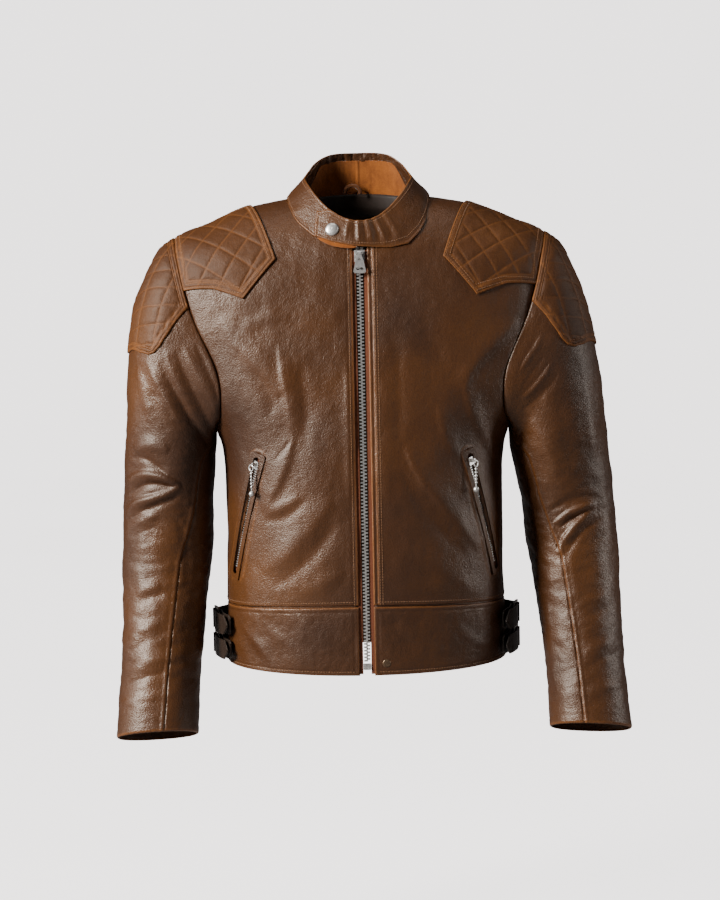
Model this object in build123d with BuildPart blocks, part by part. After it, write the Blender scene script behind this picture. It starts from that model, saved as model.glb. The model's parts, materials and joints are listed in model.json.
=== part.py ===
from build123d import *
import math
import os

# Leather riding jacket, closed, hanging from its shoulders.
# Frame: X to the wearer's left, front faces -Y, +Z up, origin at the middle of the neck opening.
# "left" and "right" are the wearer's.

# ---- driving dimensions, mm ----
LEATHER = 1.4                # thickness of one layer of leather
CLOTH = 0.8                  # thickness of the pocket bags' cloth
SEAM_ANGLE = 0.3             # each panel stops this many degrees short of a side seam
END_GAP = 0.01               # and this far in t short of the ring where it ends
SIDE = 90.0                  # angle of the wearer's left side; the right one is at -90 or 270
CHEST_TOP = (-80.0, -60.0)   # Y, Z of the front centre line at the neck seam
CHEST_FOOT = (-118.0, -575.0)
CHEST_BOW = 20.0             # how far the zip bows forward between those two points
PLACKET_EDGE = 9.0           # the front panels end this far from the zip's centre
TOOTH_PITCH = 4.2
TOOTH_COUNT = 119
ZIP_TOP = -66.0              # Z of the first tooth
SLIDER_Z = -71.0
ARMHOLE_TOP = (228.0, -50.0)   # X, Z of the armhole on the shoulder ridge
ARMHOLE_PIT = (183.0, -285.0)
SLEEVE_GAP = 1.6             # the sleeve starts this far outside the armhole's plane
SPLAY = 7.0                  # the left sleeve hangs this far out at the cuff, the right one in
POCKET_TOP = (128.0, -314.0)   # X, Z of the two ends of a pocket zip
POCKET_FOOT = (160.0, -457.0)
STRAP_WIDTH = 24.0
STRAP_HEIGHTS = (-524.0, -555.0)   # Z of the middle of the side straps
CENTRE_ANGLE = 0.5           # the front layers start here and are then cut back to the placket's edge
SNAP_RADIUS = 7.5
HEM_SNAP_RADIUS = 5.0
HEM_SNAP = (23.4, -563.5)
COLLAR_SNAP = (-25.0, 1.0)   # angle and t on the collar's surface
TAB_HINGE_X = 4.0

# Rings round the body from hem to neck:
# half width, Z at side, front and back, depth behind, squareness
TORSO = [
    (175.0, -574.0, -579.0, -578.0, 108.0, 2.3),
    (173.5, -500.0, -492.5, -500.0, 106.0, 2.3),
    (172.5, -400.0, -402.0, -400.0, 104.0, 2.3),
    (174.0, -322.0, -322.0, -318.0, 107.0, 2.35),
    (184.0, -283.0, -275.0, -270.0, 110.0, 2.4),
    (214.0, -235.0, -225.0, -215.0, 114.0, 2.5),
    (240.0, -160.0, -172.0, -160.0, 116.0, 2.5),
    (246.0, -92.0, -130.0, -105.0, 111.0, 2.5),
    (229.0, -50.0, -101.0, -64.0, 98.0, 2.4),
    (181.0, -29.0, -83.0, -34.0, 87.0, 2.3),
    (138.0, -11.0, -71.0, -13.0, 78.0, 2.2),
    (108.0, -4.0, -63.0, 0.0, 73.0, 2.1),
    (89.0, -1.0, -57.0, 8.0, 68.0, 2.0),
]
WAIST = 1                    # index of the ring at the waistband's top seam
NECK = len(TORSO) - 1
FRONT_ANGLES = (CENTRE_ANGLE, SIDE - SEAM_ANGLE)
BACK_ANGLES = (SIDE + SEAM_ANGLE, SIDE + 180 - SEAM_ANGLE)
PANEL_SPAN = (WAIST + END_GAP, NECK - END_GAP)
BAND_SPAN = (0, WAIST - END_GAP)

# Collar rings: half width, Z at side, front and back, depth in front and behind
COLLAR = [
    (88.5, 0.0, -56.0, 9.0, 79.6, 67.5),
    (81.0, 10.0, -46.0, 24.0, 78.0, 65.0),
    (71.0, 20.0, -37.0, 40.0, 75.5, 61.5),
    (61.5, 30.0, -28.5, 55.0, 72.0, 58.0),
]

# Sleeve rings from armhole to cuff: outer X and Z, inner X and Z, half depth, centre Y, forward tilt
SLEEVE = [
    (228.0, -50.0, 183.0, -285.0, 67.0, 2.0, 0.0),
    (245.0, -63.0, 184.0, -294.0, 70.0, 2.0, 0.0),
    (262.0, -92.0, 184.5, -304.0, 73.0, 2.0, 0.0),
    (276.0, -128.0, 185.5, -316.0, 75.0, 3.0, 0.0),
    (285.0, -168.0, 187.5, -331.0, 75.5, 4.0, 0.0),
    (292.0, -215.0, 190.5, -350.0, 74.5, 5.0, 0.0),
    (297.0, -262.0, 194.0, -375.0, 72.0, 7.0, 0.0),
    (301.0, -315.0, 196.0, -402.0, 68.0, 9.0, 0.0),
    (306.0, -378.0, 198.5, -432.0, 64.0, 8.0, 3.0),
    (309.0, -445.0, 203.0, -462.0, 60.0, 0.0, 9.0),
    (311.0, -520.0, 210.0, -522.0, 55.0, -18.0, 14.0),
    (312.5, -592.0, 217.0, -590.0, 51.0, -40.0, 18.0),
    (318.0, -661.0, 219.0, -656.0, 48.5, -62.0, 18.0),
]
SLEEVE_SQUARENESS = 2.15
CUFF = len(SLEEVE) - 1


# ---- surfaces ----
def interpolate(rows, t):
    """Values at t along a table of rows, on a smooth curve through all of them."""
    last = len(rows) - 1
    k = min(max(int(math.floor(t)), 0), last - 1)
    f = t - k
    before, a, b, after = (rows[min(max(k + i, 0), last)] for i in (-1, 0, 1, 2))
    values = []
    for p, q, r, s in zip(before, a, b, after):
        slope_q = (r - p) / 2
        slope_r = (s - q) / 2
        cubic = (2 * q - 2 * r + slope_q + slope_r) * f**3
        square = (3 * r - 3 * q - 2 * slope_q - slope_r) * f**2
        values.append(cubic + square + slope_q * f + q)
    return values


def lobe(degrees, power):
    """Sine and cosine pushed out to a rounded square."""
    s = math.sin(math.radians(degrees))
    c = math.cos(math.radians(degrees))
    size = (abs(s)**power + abs(c)**power)**(1 / power)
    return s / size, c / size


def ring_height(degrees, side, front, back):
    s = math.sin(math.radians(degrees))
    c = math.cos(math.radians(degrees))
    return side * s * s + (front if c > 0 else back) * c * c


# The zip lies on an arc of a circle in the plane X = 0
chord = math.dist(CHEST_TOP, CHEST_FOOT)
arc_radius = chord**2 / (8 * CHEST_BOW) + CHEST_BOW / 2
middle_y = (CHEST_TOP[0] + CHEST_FOOT[0]) / 2
middle_z = (CHEST_TOP[1] + CHEST_FOOT[1]) / 2
lean_y = (CHEST_TOP[1] - CHEST_FOOT[1]) / chord
lean_z = (CHEST_FOOT[0] - CHEST_TOP[0]) / chord
arc_y = middle_y + (arc_radius - CHEST_BOW) * lean_y
arc_z = middle_z + (arc_radius - CHEST_BOW) * lean_z


def chest_y(z):
    return arc_y - math.sqrt(arc_radius**2 - (z - arc_z)**2)


arc_plane = Plane(origin=(0, arc_y, arc_z), x_dir=(0, -1, 0), z_dir=(1, 0, 0))
TAPE_DEPTH = 2.6
TAPE_THICKNESS = 0.6
TAPE_INNER_EDGE = 4.9
TAPE_OUTER_EDGE = 15.0
TAPE_TOP = -64.0
TAPE_FOOT = -577.0
CUT_DEPTH = 160.0            # reach of the blocks that cut the front, more than the chest's depth


def arc_angle(z):
    """Angle on the arc's plane, in degrees, of the chest line at height z; it grows downward."""
    return math.degrees(math.asin((arc_z - z) / arc_radius))


def arc_strip(depth, thickness, inner_edge, outer_edge, margin=0):
    """Strip that follows the chest's arc, as a sector of a thin ring, on the left of the zip."""
    outer = arc_radius - depth
    height = TAPE_TOP - TAPE_FOOT + 2 * margin
    with BuildPart(mode=Mode.PRIVATE) as strip:
        with BuildSketch(arc_plane.offset(inner_edge)):
            Circle(outer)
            Circle(outer - thickness, mode=Mode.SUBTRACT)
        extrude(amount=outer_edge - inner_edge)
        with BuildSketch(Plane.YZ):
            with Locations((-CUT_DEPTH / 2, (TAPE_TOP + TAPE_FOOT) / 2)):
                Rectangle(CUT_DEPTH, height)
        extrude(amount=outer_edge + 1, mode=Mode.INTERSECT)
    return strip.part


def torso(degrees, t):
    """Point on the jacket's outer face: 0 degrees is the front, 90 the wearer's left side."""
    half, side, front, back, behind, power = interpolate(TORSO, t)
    s, c = lobe(degrees, power)
    y = c * chest_y(front) if c > 0 else -c * behind
    return Vector(half * s, y, ring_height(degrees, side, front, back))


def collar(degrees, t):
    half, side, front, back, ahead, behind = interpolate(COLLAR, t)
    s, c = lobe(degrees, 2.0)
    y = -c * ahead if c > 0 else -c * behind
    return Vector(half * s, y, ring_height(degrees, side, front, back))


def sleeve(degrees, t):
    """Point on the left sleeve: 0 degrees is the outer side, 90 the front, 180 the armpit side."""
    out_x, out_z, in_x, in_z, half, y, tilt = interpolate(SLEEVE, t)
    s, c = lobe(degrees, SLEEVE_SQUARENESS)
    x = (out_x + in_x) / 2 + (out_x - in_x) / 2 * c
    z = (out_z + in_z) / 2 + (out_z - in_z) / 2 * c
    lean = math.radians(tilt)
    return Vector(x, y - half * s * math.cos(lean), z + half * s * math.sin(lean))


def splayed(point, t, side):
    """The sleeve's point with its splay, on the left (side 1) or mirrored to the right (side -1)."""
    ramp = min(max((t - 3) / 6, 0), 1)
    return Vector(side * (point.X + side * SPLAY * ramp), point.Y, point.Z)


def normal(surface, degrees, t, last):
    """Unit normal of a surface, out of the garment."""
    low = max(t - 0.02, 0)
    high = min(t + 0.02, last)
    across = surface(degrees + 1, t) - surface(degrees - 1, t)
    along = surface(degrees, high) - surface(degrees, low)
    return across.cross(along).normalized()


def sheet(surface, last, angles, span, depth, columns, rows, flip=1):
    """Face at a depth under a surface, from a grid of points over angles and t."""
    grid = []
    for j in range(rows + 1):
        t = span[0] + (span[1] - span[0]) * j / rows
        line = []
        for i in range(columns + 1):
            degrees = angles[0] + (angles[1] - angles[0]) * i / columns
            line.append(surface(degrees, t) - normal(surface, degrees, t, last) * depth * flip)
        grid.append(line)
    return Face.make_surface_from_array_of_points(grid)


def layer(surface, last, angles, span, depth, thickness, columns, rows, flip=1):
    """Closed solid between a sheet at a depth and the same sheet a thickness deeper."""
    outer = sheet(surface, last, angles, span, depth, columns, rows, flip)
    inner = sheet(surface, last, angles, span, depth + thickness, columns, rows, flip)
    faces = [outer, inner]
    for edge in outer.edges():
        middle = edge.position_at(0.5)
        partner = min(inner.edges(), key=lambda other: (other.position_at(0.5) - middle).length)
        faces.append(Face.make_surface_from_curves(edge, partner))
    return Solid(Shell(Face.sew_faces(faces)[0]))


def torso_layer(angles, span, depth, thickness, columns=14, rows=12):
    return layer(torso, NECK, angles, span, depth, thickness, columns, rows)


def collar_layer(angles, span, depth, thickness, columns=40, rows=4):
    return layer(collar, len(COLLAR) - 1, angles, span, depth, thickness, columns, rows)


def sleeve_layer(angles, span, depth, thickness, side, columns=14, rows=18):
    def surface(degrees, t):
        return splayed(sleeve(degrees, t), t, side)
    return layer(surface, CUFF, angles, span, depth, thickness, columns, rows, side)


def front_point(x, z):
    """Angle, t and point of the front of the torso at a given X and Z."""
    degrees, t = 30.0, 5.0
    for _ in range(30):
        low, high = 0.0, float(NECK)
        for _ in range(30):
            t = (low + high) / 2
            if torso(degrees, t).Z < z:
                low = t
            else:
                high = t
        low, high = 0.0, 90.0
        for _ in range(30):
            degrees = (low + high) / 2
            if torso(degrees, t).X < x:
                low = degrees
            else:
                high = degrees
    return degrees, t, torso(degrees, t)


def finish(piece, label):
    """Label a piece and write it."""
    piece.label = label
    export_step(piece, f"parts/{label}.step")


def finish_pair(piece, label):
    """Write a left piece and its mirror image on the right."""
    finish(piece, label + "_left")
    finish(mirror(piece, about=Plane.YZ), label + "_right")


os.makedirs("parts", exist_ok=True)

# ---- armhole planes and the blocks that cut the torso there ----
pit_x, pit_z = ARMHOLE_PIT
armhole_length = math.dist(ARMHOLE_TOP, ARMHOLE_PIT)
up_x = (ARMHOLE_TOP[0] - pit_x) / armhole_length
up_z = (ARMHOLE_TOP[1] - pit_z) / armhole_length
armhole_plane = Plane(origin=(pit_x, 0, pit_z), x_dir=(up_x, 0, up_z), z_dir=(up_z, 0, -up_x))
ARMHOLE_BLOCK = 340.0        # size of the block, more than the armhole's length
ARMHOLE_SCOOP = 18.0         # the block reaches this far below the pit
with BuildPart() as armhole_block:
    with BuildSketch(armhole_plane):
        with Locations((ARMHOLE_BLOCK / 2 - ARMHOLE_SCOOP, 0)):
            Rectangle(ARMHOLE_BLOCK, ARMHOLE_BLOCK)
    extrude(amount=ARMHOLE_BLOCK)
block_left = armhole_block.part
block_right = mirror(block_left, about=Plane.YZ)


def armhole_cut():
    add(block_left, mode=Mode.SUBTRACT)
    add(block_right, mode=Mode.SUBTRACT)


# ---- torso panels ----
pocket_top = front_point(*POCKET_TOP)[2]
pocket_foot = front_point(*POCKET_FOOT)[2]
pocket_along = (pocket_foot - pocket_top).normalized()
pocket_angle, pocket_t, _ = front_point(
    (POCKET_TOP[0] + POCKET_FOOT[0]) / 2, (POCKET_TOP[1] + POCKET_FOOT[1]) / 2)
pocket_out = normal(torso, pocket_angle, pocket_t, NECK)
pocket_out = (pocket_out - pocket_along * pocket_out.dot(pocket_along)).normalized()
pocket_length = (pocket_foot - pocket_top).length
POCKET_LIFT = 1.2            # the zip's plane stands this far out of the line between its ends
pocket_middle = (pocket_top + pocket_foot) * 0.5 + pocket_out * POCKET_LIFT
pocket_plane = Plane(origin=pocket_middle, x_dir=pocket_along, z_dir=pocket_out)
SLOT_WIDTH = 9.0
SLOT_LENGTH = pocket_length + 4
SLOT_CUT = 12.0              # half the depth of the cut that opens the slot
WELT_WIDTH = 6.0

with BuildPart() as back_panel:
    add(torso_layer(BACK_ANGLES, PANEL_SPAN, 0, LEATHER, 26, 44))
    armhole_cut()
finish(back_panel.part, "back_panel")


WEDGE_MIDDLE = (-100.0, -320.0)   # Y, Z of the block that cuts the front opening
WEDGE_SIZE = (120.0, 640.0)


def edge_wedge(half_width):
    """Slab along the front opening, as wide as the gap between the front panels."""
    with BuildPart(mode=Mode.PRIVATE) as slab:
        with BuildSketch(Plane.YZ.offset(-half_width)):
            with Locations(WEDGE_MIDDLE):
                Rectangle(*WEDGE_SIZE)
        extrude(amount=2 * half_width)
    return slab.part


with BuildPart() as front_panel:
    add(torso_layer(FRONT_ANGLES, PANEL_SPAN, 0, LEATHER, 14, 44))
    add(edge_wedge(PLACKET_EDGE), mode=Mode.SUBTRACT)
    armhole_cut()
    with BuildSketch(pocket_plane.offset(-SLOT_CUT)):
        RectangleRounded(SLOT_LENGTH, SLOT_WIDTH, SLOT_WIDTH / 2 - 0.1)
    extrude(amount=2 * SLOT_CUT, mode=Mode.SUBTRACT)
finish_pair(front_panel.part, "front_panel")

# ---- quilted shoulder patches: a padded layer over the front of each shoulder ----
PATCH_GAP = 0.4
PATCH_THICKNESS = 2.4
PATCH_EDGE_Y = 4.0           # the patch ends this far in front of the shoulder ridge
PATCH_ANGLES = (20, 84)      # on the torso, before the outline is cut
PATCH_SPAN = (5.6, 11.4)
PATCH_OUTLINE = [(133, 20), (133, -9), (103, -72), (142, -119), (182, -113), (240, -106), (240, 20)]
with BuildPart() as shoulder_patch:
    add(torso_layer(PATCH_ANGLES, PATCH_SPAN, -PATCH_GAP - PATCH_THICKNESS, PATCH_THICKNESS, 10, 12))
    with BuildSketch(Plane.XZ.offset(PATCH_EDGE_Y)):
        with BuildLine():
            Polyline(*PATCH_OUTLINE, close=True)
        make_face()
    extrude(amount=CUT_DEPTH, mode=Mode.INTERSECT)
    armhole_cut()
finish_pair(shoulder_patch.part, "shoulder_patch")

# ---- waistband: two layers of leather ----
BAND_THICKNESS = 2.8
BAND_ZIP_GAP = 1.8           # the band lies this far over the zip's tapes, in a recess of its own
SNAP_HEIGHT = 2.0
SNAP_SEAT = 0.9              # how deep a snap is let into its leather
SNAP_FIT = 0.1               # room round a snap in its seat
SNAP_CUT = 20.0              # reach of the cut that makes a seat


def surface_plane(surface, degrees, t, last, depth):
    """Plane tangent to a surface at a depth below it, with its Z outward."""
    out = normal(surface, degrees, t, last)
    return Plane(origin=surface(degrees, t) - out * depth, z_dir=out)


hem_snap_angle, hem_snap_t, _ = front_point(*HEM_SNAP)
snap_plane = surface_plane(torso, hem_snap_angle, hem_snap_t, NECK, SNAP_SEAT)
with BuildPart() as band_blank:
    add(torso_layer(FRONT_ANGLES, BAND_SPAN, 0, BAND_THICKNESS, 14, 3))
    add(edge_wedge(PLACKET_EDGE), mode=Mode.SUBTRACT)
    add(arc_strip(BAND_ZIP_GAP, 4, 0, TAPE_OUTER_EDGE + 0.5, 6), mode=Mode.SUBTRACT)
finish(mirror(band_blank.part, about=Plane.YZ), "waistband_front_right")
with BuildPart() as waistband_front_left:
    add(band_blank.part)
    with BuildSketch(snap_plane):
        Circle(HEM_SNAP_RADIUS + SNAP_FIT)
    extrude(amount=SNAP_CUT, mode=Mode.SUBTRACT)
finish(waistband_front_left.part, "waistband_front_left")
with BuildPart() as waistband_back:
    add(torso_layer(BACK_ANGLES, BAND_SPAN, 0, BAND_THICKNESS, 26, 3))
finish(waistband_back.part, "waistband_back")


def snap_cap(plane, radius):
    """Domed press-stud cap standing on a plane."""
    with BuildPart(mode=Mode.PRIVATE) as cap:
        with BuildSketch(plane):
            Circle(radius)
        extrude(amount=SNAP_HEIGHT)
        fillet(cap.faces().sort_by(Axis.Y)[0].edges(), SNAP_HEIGHT * 0.6)
    return cap.part


with BuildPart() as hem_snap:
    add(snap_cap(snap_plane, HEM_SNAP_RADIUS))
finish(hem_snap.part, "hem_snap")

# ---- facings ----
FACING_DEPTH = 3.4
FACING_ANGLES = (7.5, 22)
NECK_FACING_DEPTH = 2.4
NECK_FACING_ANGLES = (112, 248)
NECK_FACING_SPAN = (NECK - 1.1, NECK - 0.08)
with BuildPart() as front_facing:
    add(torso_layer(FACING_ANGLES, (WAIST + 0.06, NECK - 0.1), FACING_DEPTH, LEATHER, 6, 12))
finish_pair(front_facing.part, "front_facing")
with BuildPart() as back_neck_facing:
    add(torso_layer(NECK_FACING_ANGLES, NECK_FACING_SPAN, NECK_FACING_DEPTH, LEATHER, 16, 4))
finish(back_neck_facing.part, "back_neck_facing")

# ---- collar ----
COLLAR_TOP = len(COLLAR) - 1
TAB_GAP = 0.7
TAB_THICKNESS = 2.2
tab_snap_plane = surface_plane(collar, *COLLAR_SNAP, COLLAR_TOP, -TAB_GAP - TAB_THICKNESS + SNAP_SEAT)
stud_plane = surface_plane(collar, *COLLAR_SNAP, COLLAR_TOP, SNAP_SEAT)
STUD_RADIUS = 4.5
COLLAR_LINING_DEPTH = 2.2
COLLAR_LINING = 1.2
COLLAR_ANGLES = (3.2, 356.8)   # the collar is open at the front, under the tab
COLLAR_FOOT = 0.06
LINING_ANGLES = (5, 355)
LINING_SPLIT = 2.3           # t where the suede meets the leather facing
SPLIT_GAP = 0.02
with BuildPart() as collar_outer:
    add(collar_layer(COLLAR_ANGLES, (COLLAR_FOOT, COLLAR_TOP), 0, LEATHER))
    with BuildSketch(stud_plane):
        Circle(STUD_RADIUS + SNAP_FIT)
    extrude(amount=SNAP_CUT, mode=Mode.SUBTRACT)
finish(collar_outer.part, "collar_outer")
with BuildPart() as collar_snap_stud:
    with BuildSketch(stud_plane):
        Circle(STUD_RADIUS)
    extrude(amount=SNAP_SEAT + TAB_GAP - 0.5)
finish(collar_snap_stud.part, "collar_snap_stud")
with BuildPart() as collar_lining:
    add(collar_layer(LINING_ANGLES, (0.1, LINING_SPLIT - SPLIT_GAP), COLLAR_LINING_DEPTH, COLLAR_LINING))
finish(collar_lining.part, "collar_lining")
with BuildPart() as collar_top_facing:
    add(collar_layer(LINING_ANGLES, (LINING_SPLIT + SPLIT_GAP, COLLAR_TOP),
                     COLLAR_LINING_DEPTH, COLLAR_LINING))
finish(collar_top_facing.part, "collar_top_facing")

# The closing tab: an extension of the left collar end over the right one
TAB_ANGLES = (-42, 3)        # on the collar, before the outline is cut
TAB_SPAN = (0.0, 2.95)
TAB_OUTLINE = [
    (TAB_HINGE_X, -70), (TAB_HINGE_X, -20), (-38, -24), (-52, -31), (-58, -45), (-50, -56), (-12, -70),
]
with BuildPart() as collar_tab:
    add(collar_layer(TAB_ANGLES, TAB_SPAN, -TAB_GAP - TAB_THICKNESS, TAB_THICKNESS, 12))
    with BuildSketch(Plane.XZ):
        with BuildLine():
            Polyline(*TAB_OUTLINE, close=True)
        make_face()
    extrude(amount=CUT_DEPTH, mode=Mode.INTERSECT)
    with BuildSketch(tab_snap_plane):
        Circle(SNAP_RADIUS + SNAP_FIT)
    extrude(amount=SNAP_CUT, mode=Mode.SUBTRACT)
finish(collar_tab.part, "collar_tab")
with BuildPart() as collar_snap_cap:
    add(snap_cap(tab_snap_plane, SNAP_RADIUS))
finish(collar_snap_cap.part, "collar_snap_cap")

# ---- hanger loop: a small arch of leather inside the back of the collar ----
LOOP_X = -9.0
LOOP_Y = 57.5
LOOP_Z = 12.0                # of the loop's two feet
LOOP_WIDTH = 26.0
LOOP_RISE = 15.0
LOOP_BAND = 4.5
LOOP_THICKNESS = 2.0
with BuildPart() as hanger_loop:
    with BuildSketch(Plane(origin=(LOOP_X, LOOP_Y, LOOP_Z), x_dir=(1, 0, 0), z_dir=(0, -1, 0))):
        RectangleRounded(LOOP_WIDTH, 2 * LOOP_RISE, LOOP_WIDTH / 2 - 0.1)
        RectangleRounded(LOOP_WIDTH - 2 * LOOP_BAND, 2 * (LOOP_RISE - LOOP_BAND),
                         LOOP_WIDTH / 2 - LOOP_BAND - 0.1, mode=Mode.SUBTRACT)
        with Locations((0, -LOOP_RISE)):
            Rectangle(LOOP_WIDTH, 2 * LOOP_RISE, mode=Mode.SUBTRACT)
    extrude(amount=LOOP_THICKNESS)
finish(hanger_loop.part, "hanger_loop")

# ---- main zip, on the arc of the chest ----
TOOTH_THICKNESS = 2.6
TOOTH_DEPTH = 1.5
TOOTH_REACH = 4.8
TOOTH_HEIGHT = 1.7
TOOTH_PAST = 1.0             # a tooth reaches this far past the middle
with BuildPart() as zip_tape:
    add(arc_strip(TAPE_DEPTH, TAPE_THICKNESS, TAPE_INNER_EDGE, TAPE_OUTER_EDGE))
finish_pair(zip_tape.part, "zip_tape")

pitch_angle = math.degrees(TOOTH_PITCH / arc_radius)
first_angle = arc_angle(ZIP_TOP)
tooth_radius = arc_radius - TOOTH_DEPTH - TOOTH_THICKNESS / 2


def teeth(side):
    """One side's teeth, reaching just past the middle between the other side's."""
    with BuildPart(mode=Mode.PRIVATE) as row:
        shift = pitch_angle / 2 if side < 0 else 0
        middle = side * (TOOTH_REACH / 2 - TOOTH_PAST)
        places = []
        for k in range(TOOTH_COUNT):
            angle = first_angle + shift + k * pitch_angle
            places.append(arc_plane * Rot(0, 0, angle) * Pos(tooth_radius, 0, middle))
        with Locations(*places):
            Box(TOOTH_THICKNESS, TOOTH_HEIGHT, TOOTH_REACH)
    return row.part


finish(teeth(1), "zip_teeth_left")
finish(teeth(-1), "zip_teeth_right")

END_BOX = (9.6, 3.2, 7.6)
END_BOX_Z = -567.8
END_BOX_GROOVE = (2.2, 1.0, 5.0)
STOP = (4.0, 3.0, 3.2)
STOP_X = 2.6
STOP_Z = -61.8
METAL_DEPTH = 3.0            # the box and the stops lie this deep in the opening
with BuildPart() as zip_end_box:
    box_middle = Vector(0, chest_y(END_BOX_Z) + METAL_DEPTH, END_BOX_Z)
    with Locations(box_middle):
        Box(*END_BOX)
    fillet(zip_end_box.edges().filter_by(Axis.Y), 1.2)
    with Locations(box_middle - Vector(0, END_BOX[1] / 2, 0)):
        Box(*END_BOX_GROOVE, mode=Mode.SUBTRACT)
finish(zip_end_box.part, "zip_end_box")
with BuildPart() as zip_top_stops:
    for side in (-1, 1):
        with Locations((side * STOP_X, chest_y(STOP_Z) + METAL_DEPTH, STOP_Z)):
            Box(*STOP)
finish(zip_top_stops.part, "zip_top_stops")

# ---- main slider and its pull ----
SLIDER_LENGTH = 15.0
SLIDER_HALF = 6.4
SLIDER_PLATE = 1.3
PULL_TOP_WIDTH = 8.0
PULL_FOOT_WIDTH = 15.5
PULL_LENGTH = 25.0
slider_tilt = arc_angle(SLIDER_Z)
slider_y = chest_y(SLIDER_Z)
# Plane on the chest's surface at the slider: X across, Y up along the zip, Z outward
slider_plane = Plane(origin=(0, slider_y, SLIDER_Z), x_dir=(1, 0, 0),
                     z_dir=(0, -math.cos(math.radians(slider_tilt)), -math.sin(math.radians(slider_tilt))))
PIVOT_HEIGHT = 3.6
PIVOT_UP = 3.5
CROWN_DEPTH = 1.1            # the crown starts this deep under the chest's surface
BACK_PLATE_DEPTH = 5.6
FLANGE = (1.1, 1.6)
LUG_FOOT = (1.4, 3.4)
with BuildPart() as main_slider:
    with BuildSketch(slider_plane.offset(-CROWN_DEPTH)):
        Trapezoid(2 * SLIDER_HALF, SLIDER_LENGTH, 84, rotation=180)
    extrude(amount=SLIDER_PLATE + 1.0)
    with BuildSketch(slider_plane.offset(-2 * CROWN_DEPTH)):
        for side in (-1, 1):
            with Locations((side * (SLIDER_HALF - 0.6), 0)):
                Rectangle(FLANGE[0], SLIDER_LENGTH - 2)
    extrude(amount=FLANGE[1])
    with BuildSketch(slider_plane.offset(-BACK_PLATE_DEPTH)):
        RectangleRounded(2 * SLIDER_HALF, SLIDER_LENGTH - 1, 2)
    extrude(amount=1.0)
    with BuildSketch(slider_plane.offset(CROWN_DEPTH)):
        for side in (-1, 1):
            with Locations((side * 3.4, PIVOT_UP)):
                Rectangle(*LUG_FOOT)
    extrude(amount=3.8)
    with Locations(slider_plane * Pos(0, PIVOT_UP, PIVOT_HEIGHT) * Rot(0, 90, 0)):
        Cylinder(0.9, 7.6)
finish(main_slider.part, "main_slider")

with BuildPart() as main_pull:
    with BuildSketch(slider_plane.offset(PIVOT_HEIGHT - 0.8)):
        with BuildLine():
            Polyline((-2.4, PIVOT_UP + 2.1), (2.4, PIVOT_UP + 2.1), (2.4, PIVOT_UP - 4),
                     (PULL_TOP_WIDTH / 2, PIVOT_UP - 6), (PULL_FOOT_WIDTH / 2, PIVOT_UP - PULL_LENGTH + 2),
                     (PULL_FOOT_WIDTH / 2 - 2, PIVOT_UP - PULL_LENGTH),
                     (-PULL_FOOT_WIDTH / 2 + 2, PIVOT_UP - PULL_LENGTH),
                     (-PULL_FOOT_WIDTH / 2, PIVOT_UP - PULL_LENGTH + 2),
                     (-PULL_TOP_WIDTH / 2, PIVOT_UP - 6), (-2.4, PIVOT_UP - 4), close=True)
        make_face()
        with Locations((0, PIVOT_UP - 8)):
            Circle(1.3, mode=Mode.SUBTRACT)
        with Locations((0, PIVOT_UP - PULL_LENGTH + 5.5)):
            SlotOverall(8.5, 3.2, mode=Mode.SUBTRACT)
    extrude(amount=1.6)
    with Locations(slider_plane * Pos(0, PIVOT_UP, PIVOT_HEIGHT) * Rot(0, 90, 0)):
        Cylinder(2.1, 4.8)
        Cylinder(1.2, 4.8, mode=Mode.SUBTRACT)
finish(main_pull.part, "main_pull")

# ---- pockets: welt, zip tape, teeth, slider, pull and bag ----
WELT_LIFT = 2.4              # of the welt's outer face over the panel's
WELT_THICKNESS = 1.6
BAG_DEPTH = 6.7
BAG_OUTLINE = [(165, -300), (112, -312), (62, -345), (55, -430), (75, -480), (170, -480)]
POCKET_SPAN = (WAIST + 0.02, 3.6)   # t of the layers the welt and the bag are cut from
POCKET_TAPE_WIDTH = 10.4
POCKET_TAPE_DEPTH = 4.5
POCKET_TEETH = 46
POCKET_PITCH = 3.0
POCKET_TOOTH = (1.2, 4.4, 2.4)
POCKET_TOOTH_DEPTH = 3.6
with BuildPart() as pocket_welt:
    add(torso_layer((20, 88), POCKET_SPAN, -WELT_LIFT, WELT_THICKNESS, 16, 12))
    with BuildSketch(pocket_plane.offset(-SLOT_CUT)):
        RectangleRounded(SLOT_LENGTH + 10, SLOT_WIDTH + 2 * WELT_WIDTH, 3)
        RectangleRounded(SLOT_LENGTH, SLOT_WIDTH, SLOT_WIDTH / 2 - 0.1, mode=Mode.SUBTRACT)
    extrude(amount=2 * SLOT_CUT, mode=Mode.INTERSECT)
finish_pair(pocket_welt.part, "pocket_welt")
with BuildPart() as pocket_zip_tape:
    with BuildSketch(pocket_plane.offset(-POCKET_TAPE_DEPTH)):
        RectangleRounded(pocket_length + 1, POCKET_TAPE_WIDTH, 2)
    extrude(amount=0.5)
finish_pair(pocket_zip_tape.part, "pocket_zip_tape")
with BuildPart() as pocket_zip_teeth:
    with BuildSketch(pocket_plane.offset(-POCKET_TOOTH_DEPTH)):
        with GridLocations(POCKET_PITCH, 1, POCKET_TEETH, 1):
            Rectangle(*POCKET_TOOTH[:2])
    extrude(amount=POCKET_TOOTH[2])
finish_pair(pocket_zip_teeth.part, "pocket_zip_teeth")
with BuildPart() as pocket_bag:
    add(torso_layer((14, 80), POCKET_SPAN, BAG_DEPTH, CLOTH, 16, 10))
    with BuildSketch(Plane.XZ):
        with BuildLine():
            Polyline(*BAG_OUTLINE, close=True)
        make_face()
    extrude(amount=CUT_DEPTH, mode=Mode.INTERSECT)
finish_pair(pocket_bag.part, "pocket_bag")

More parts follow.
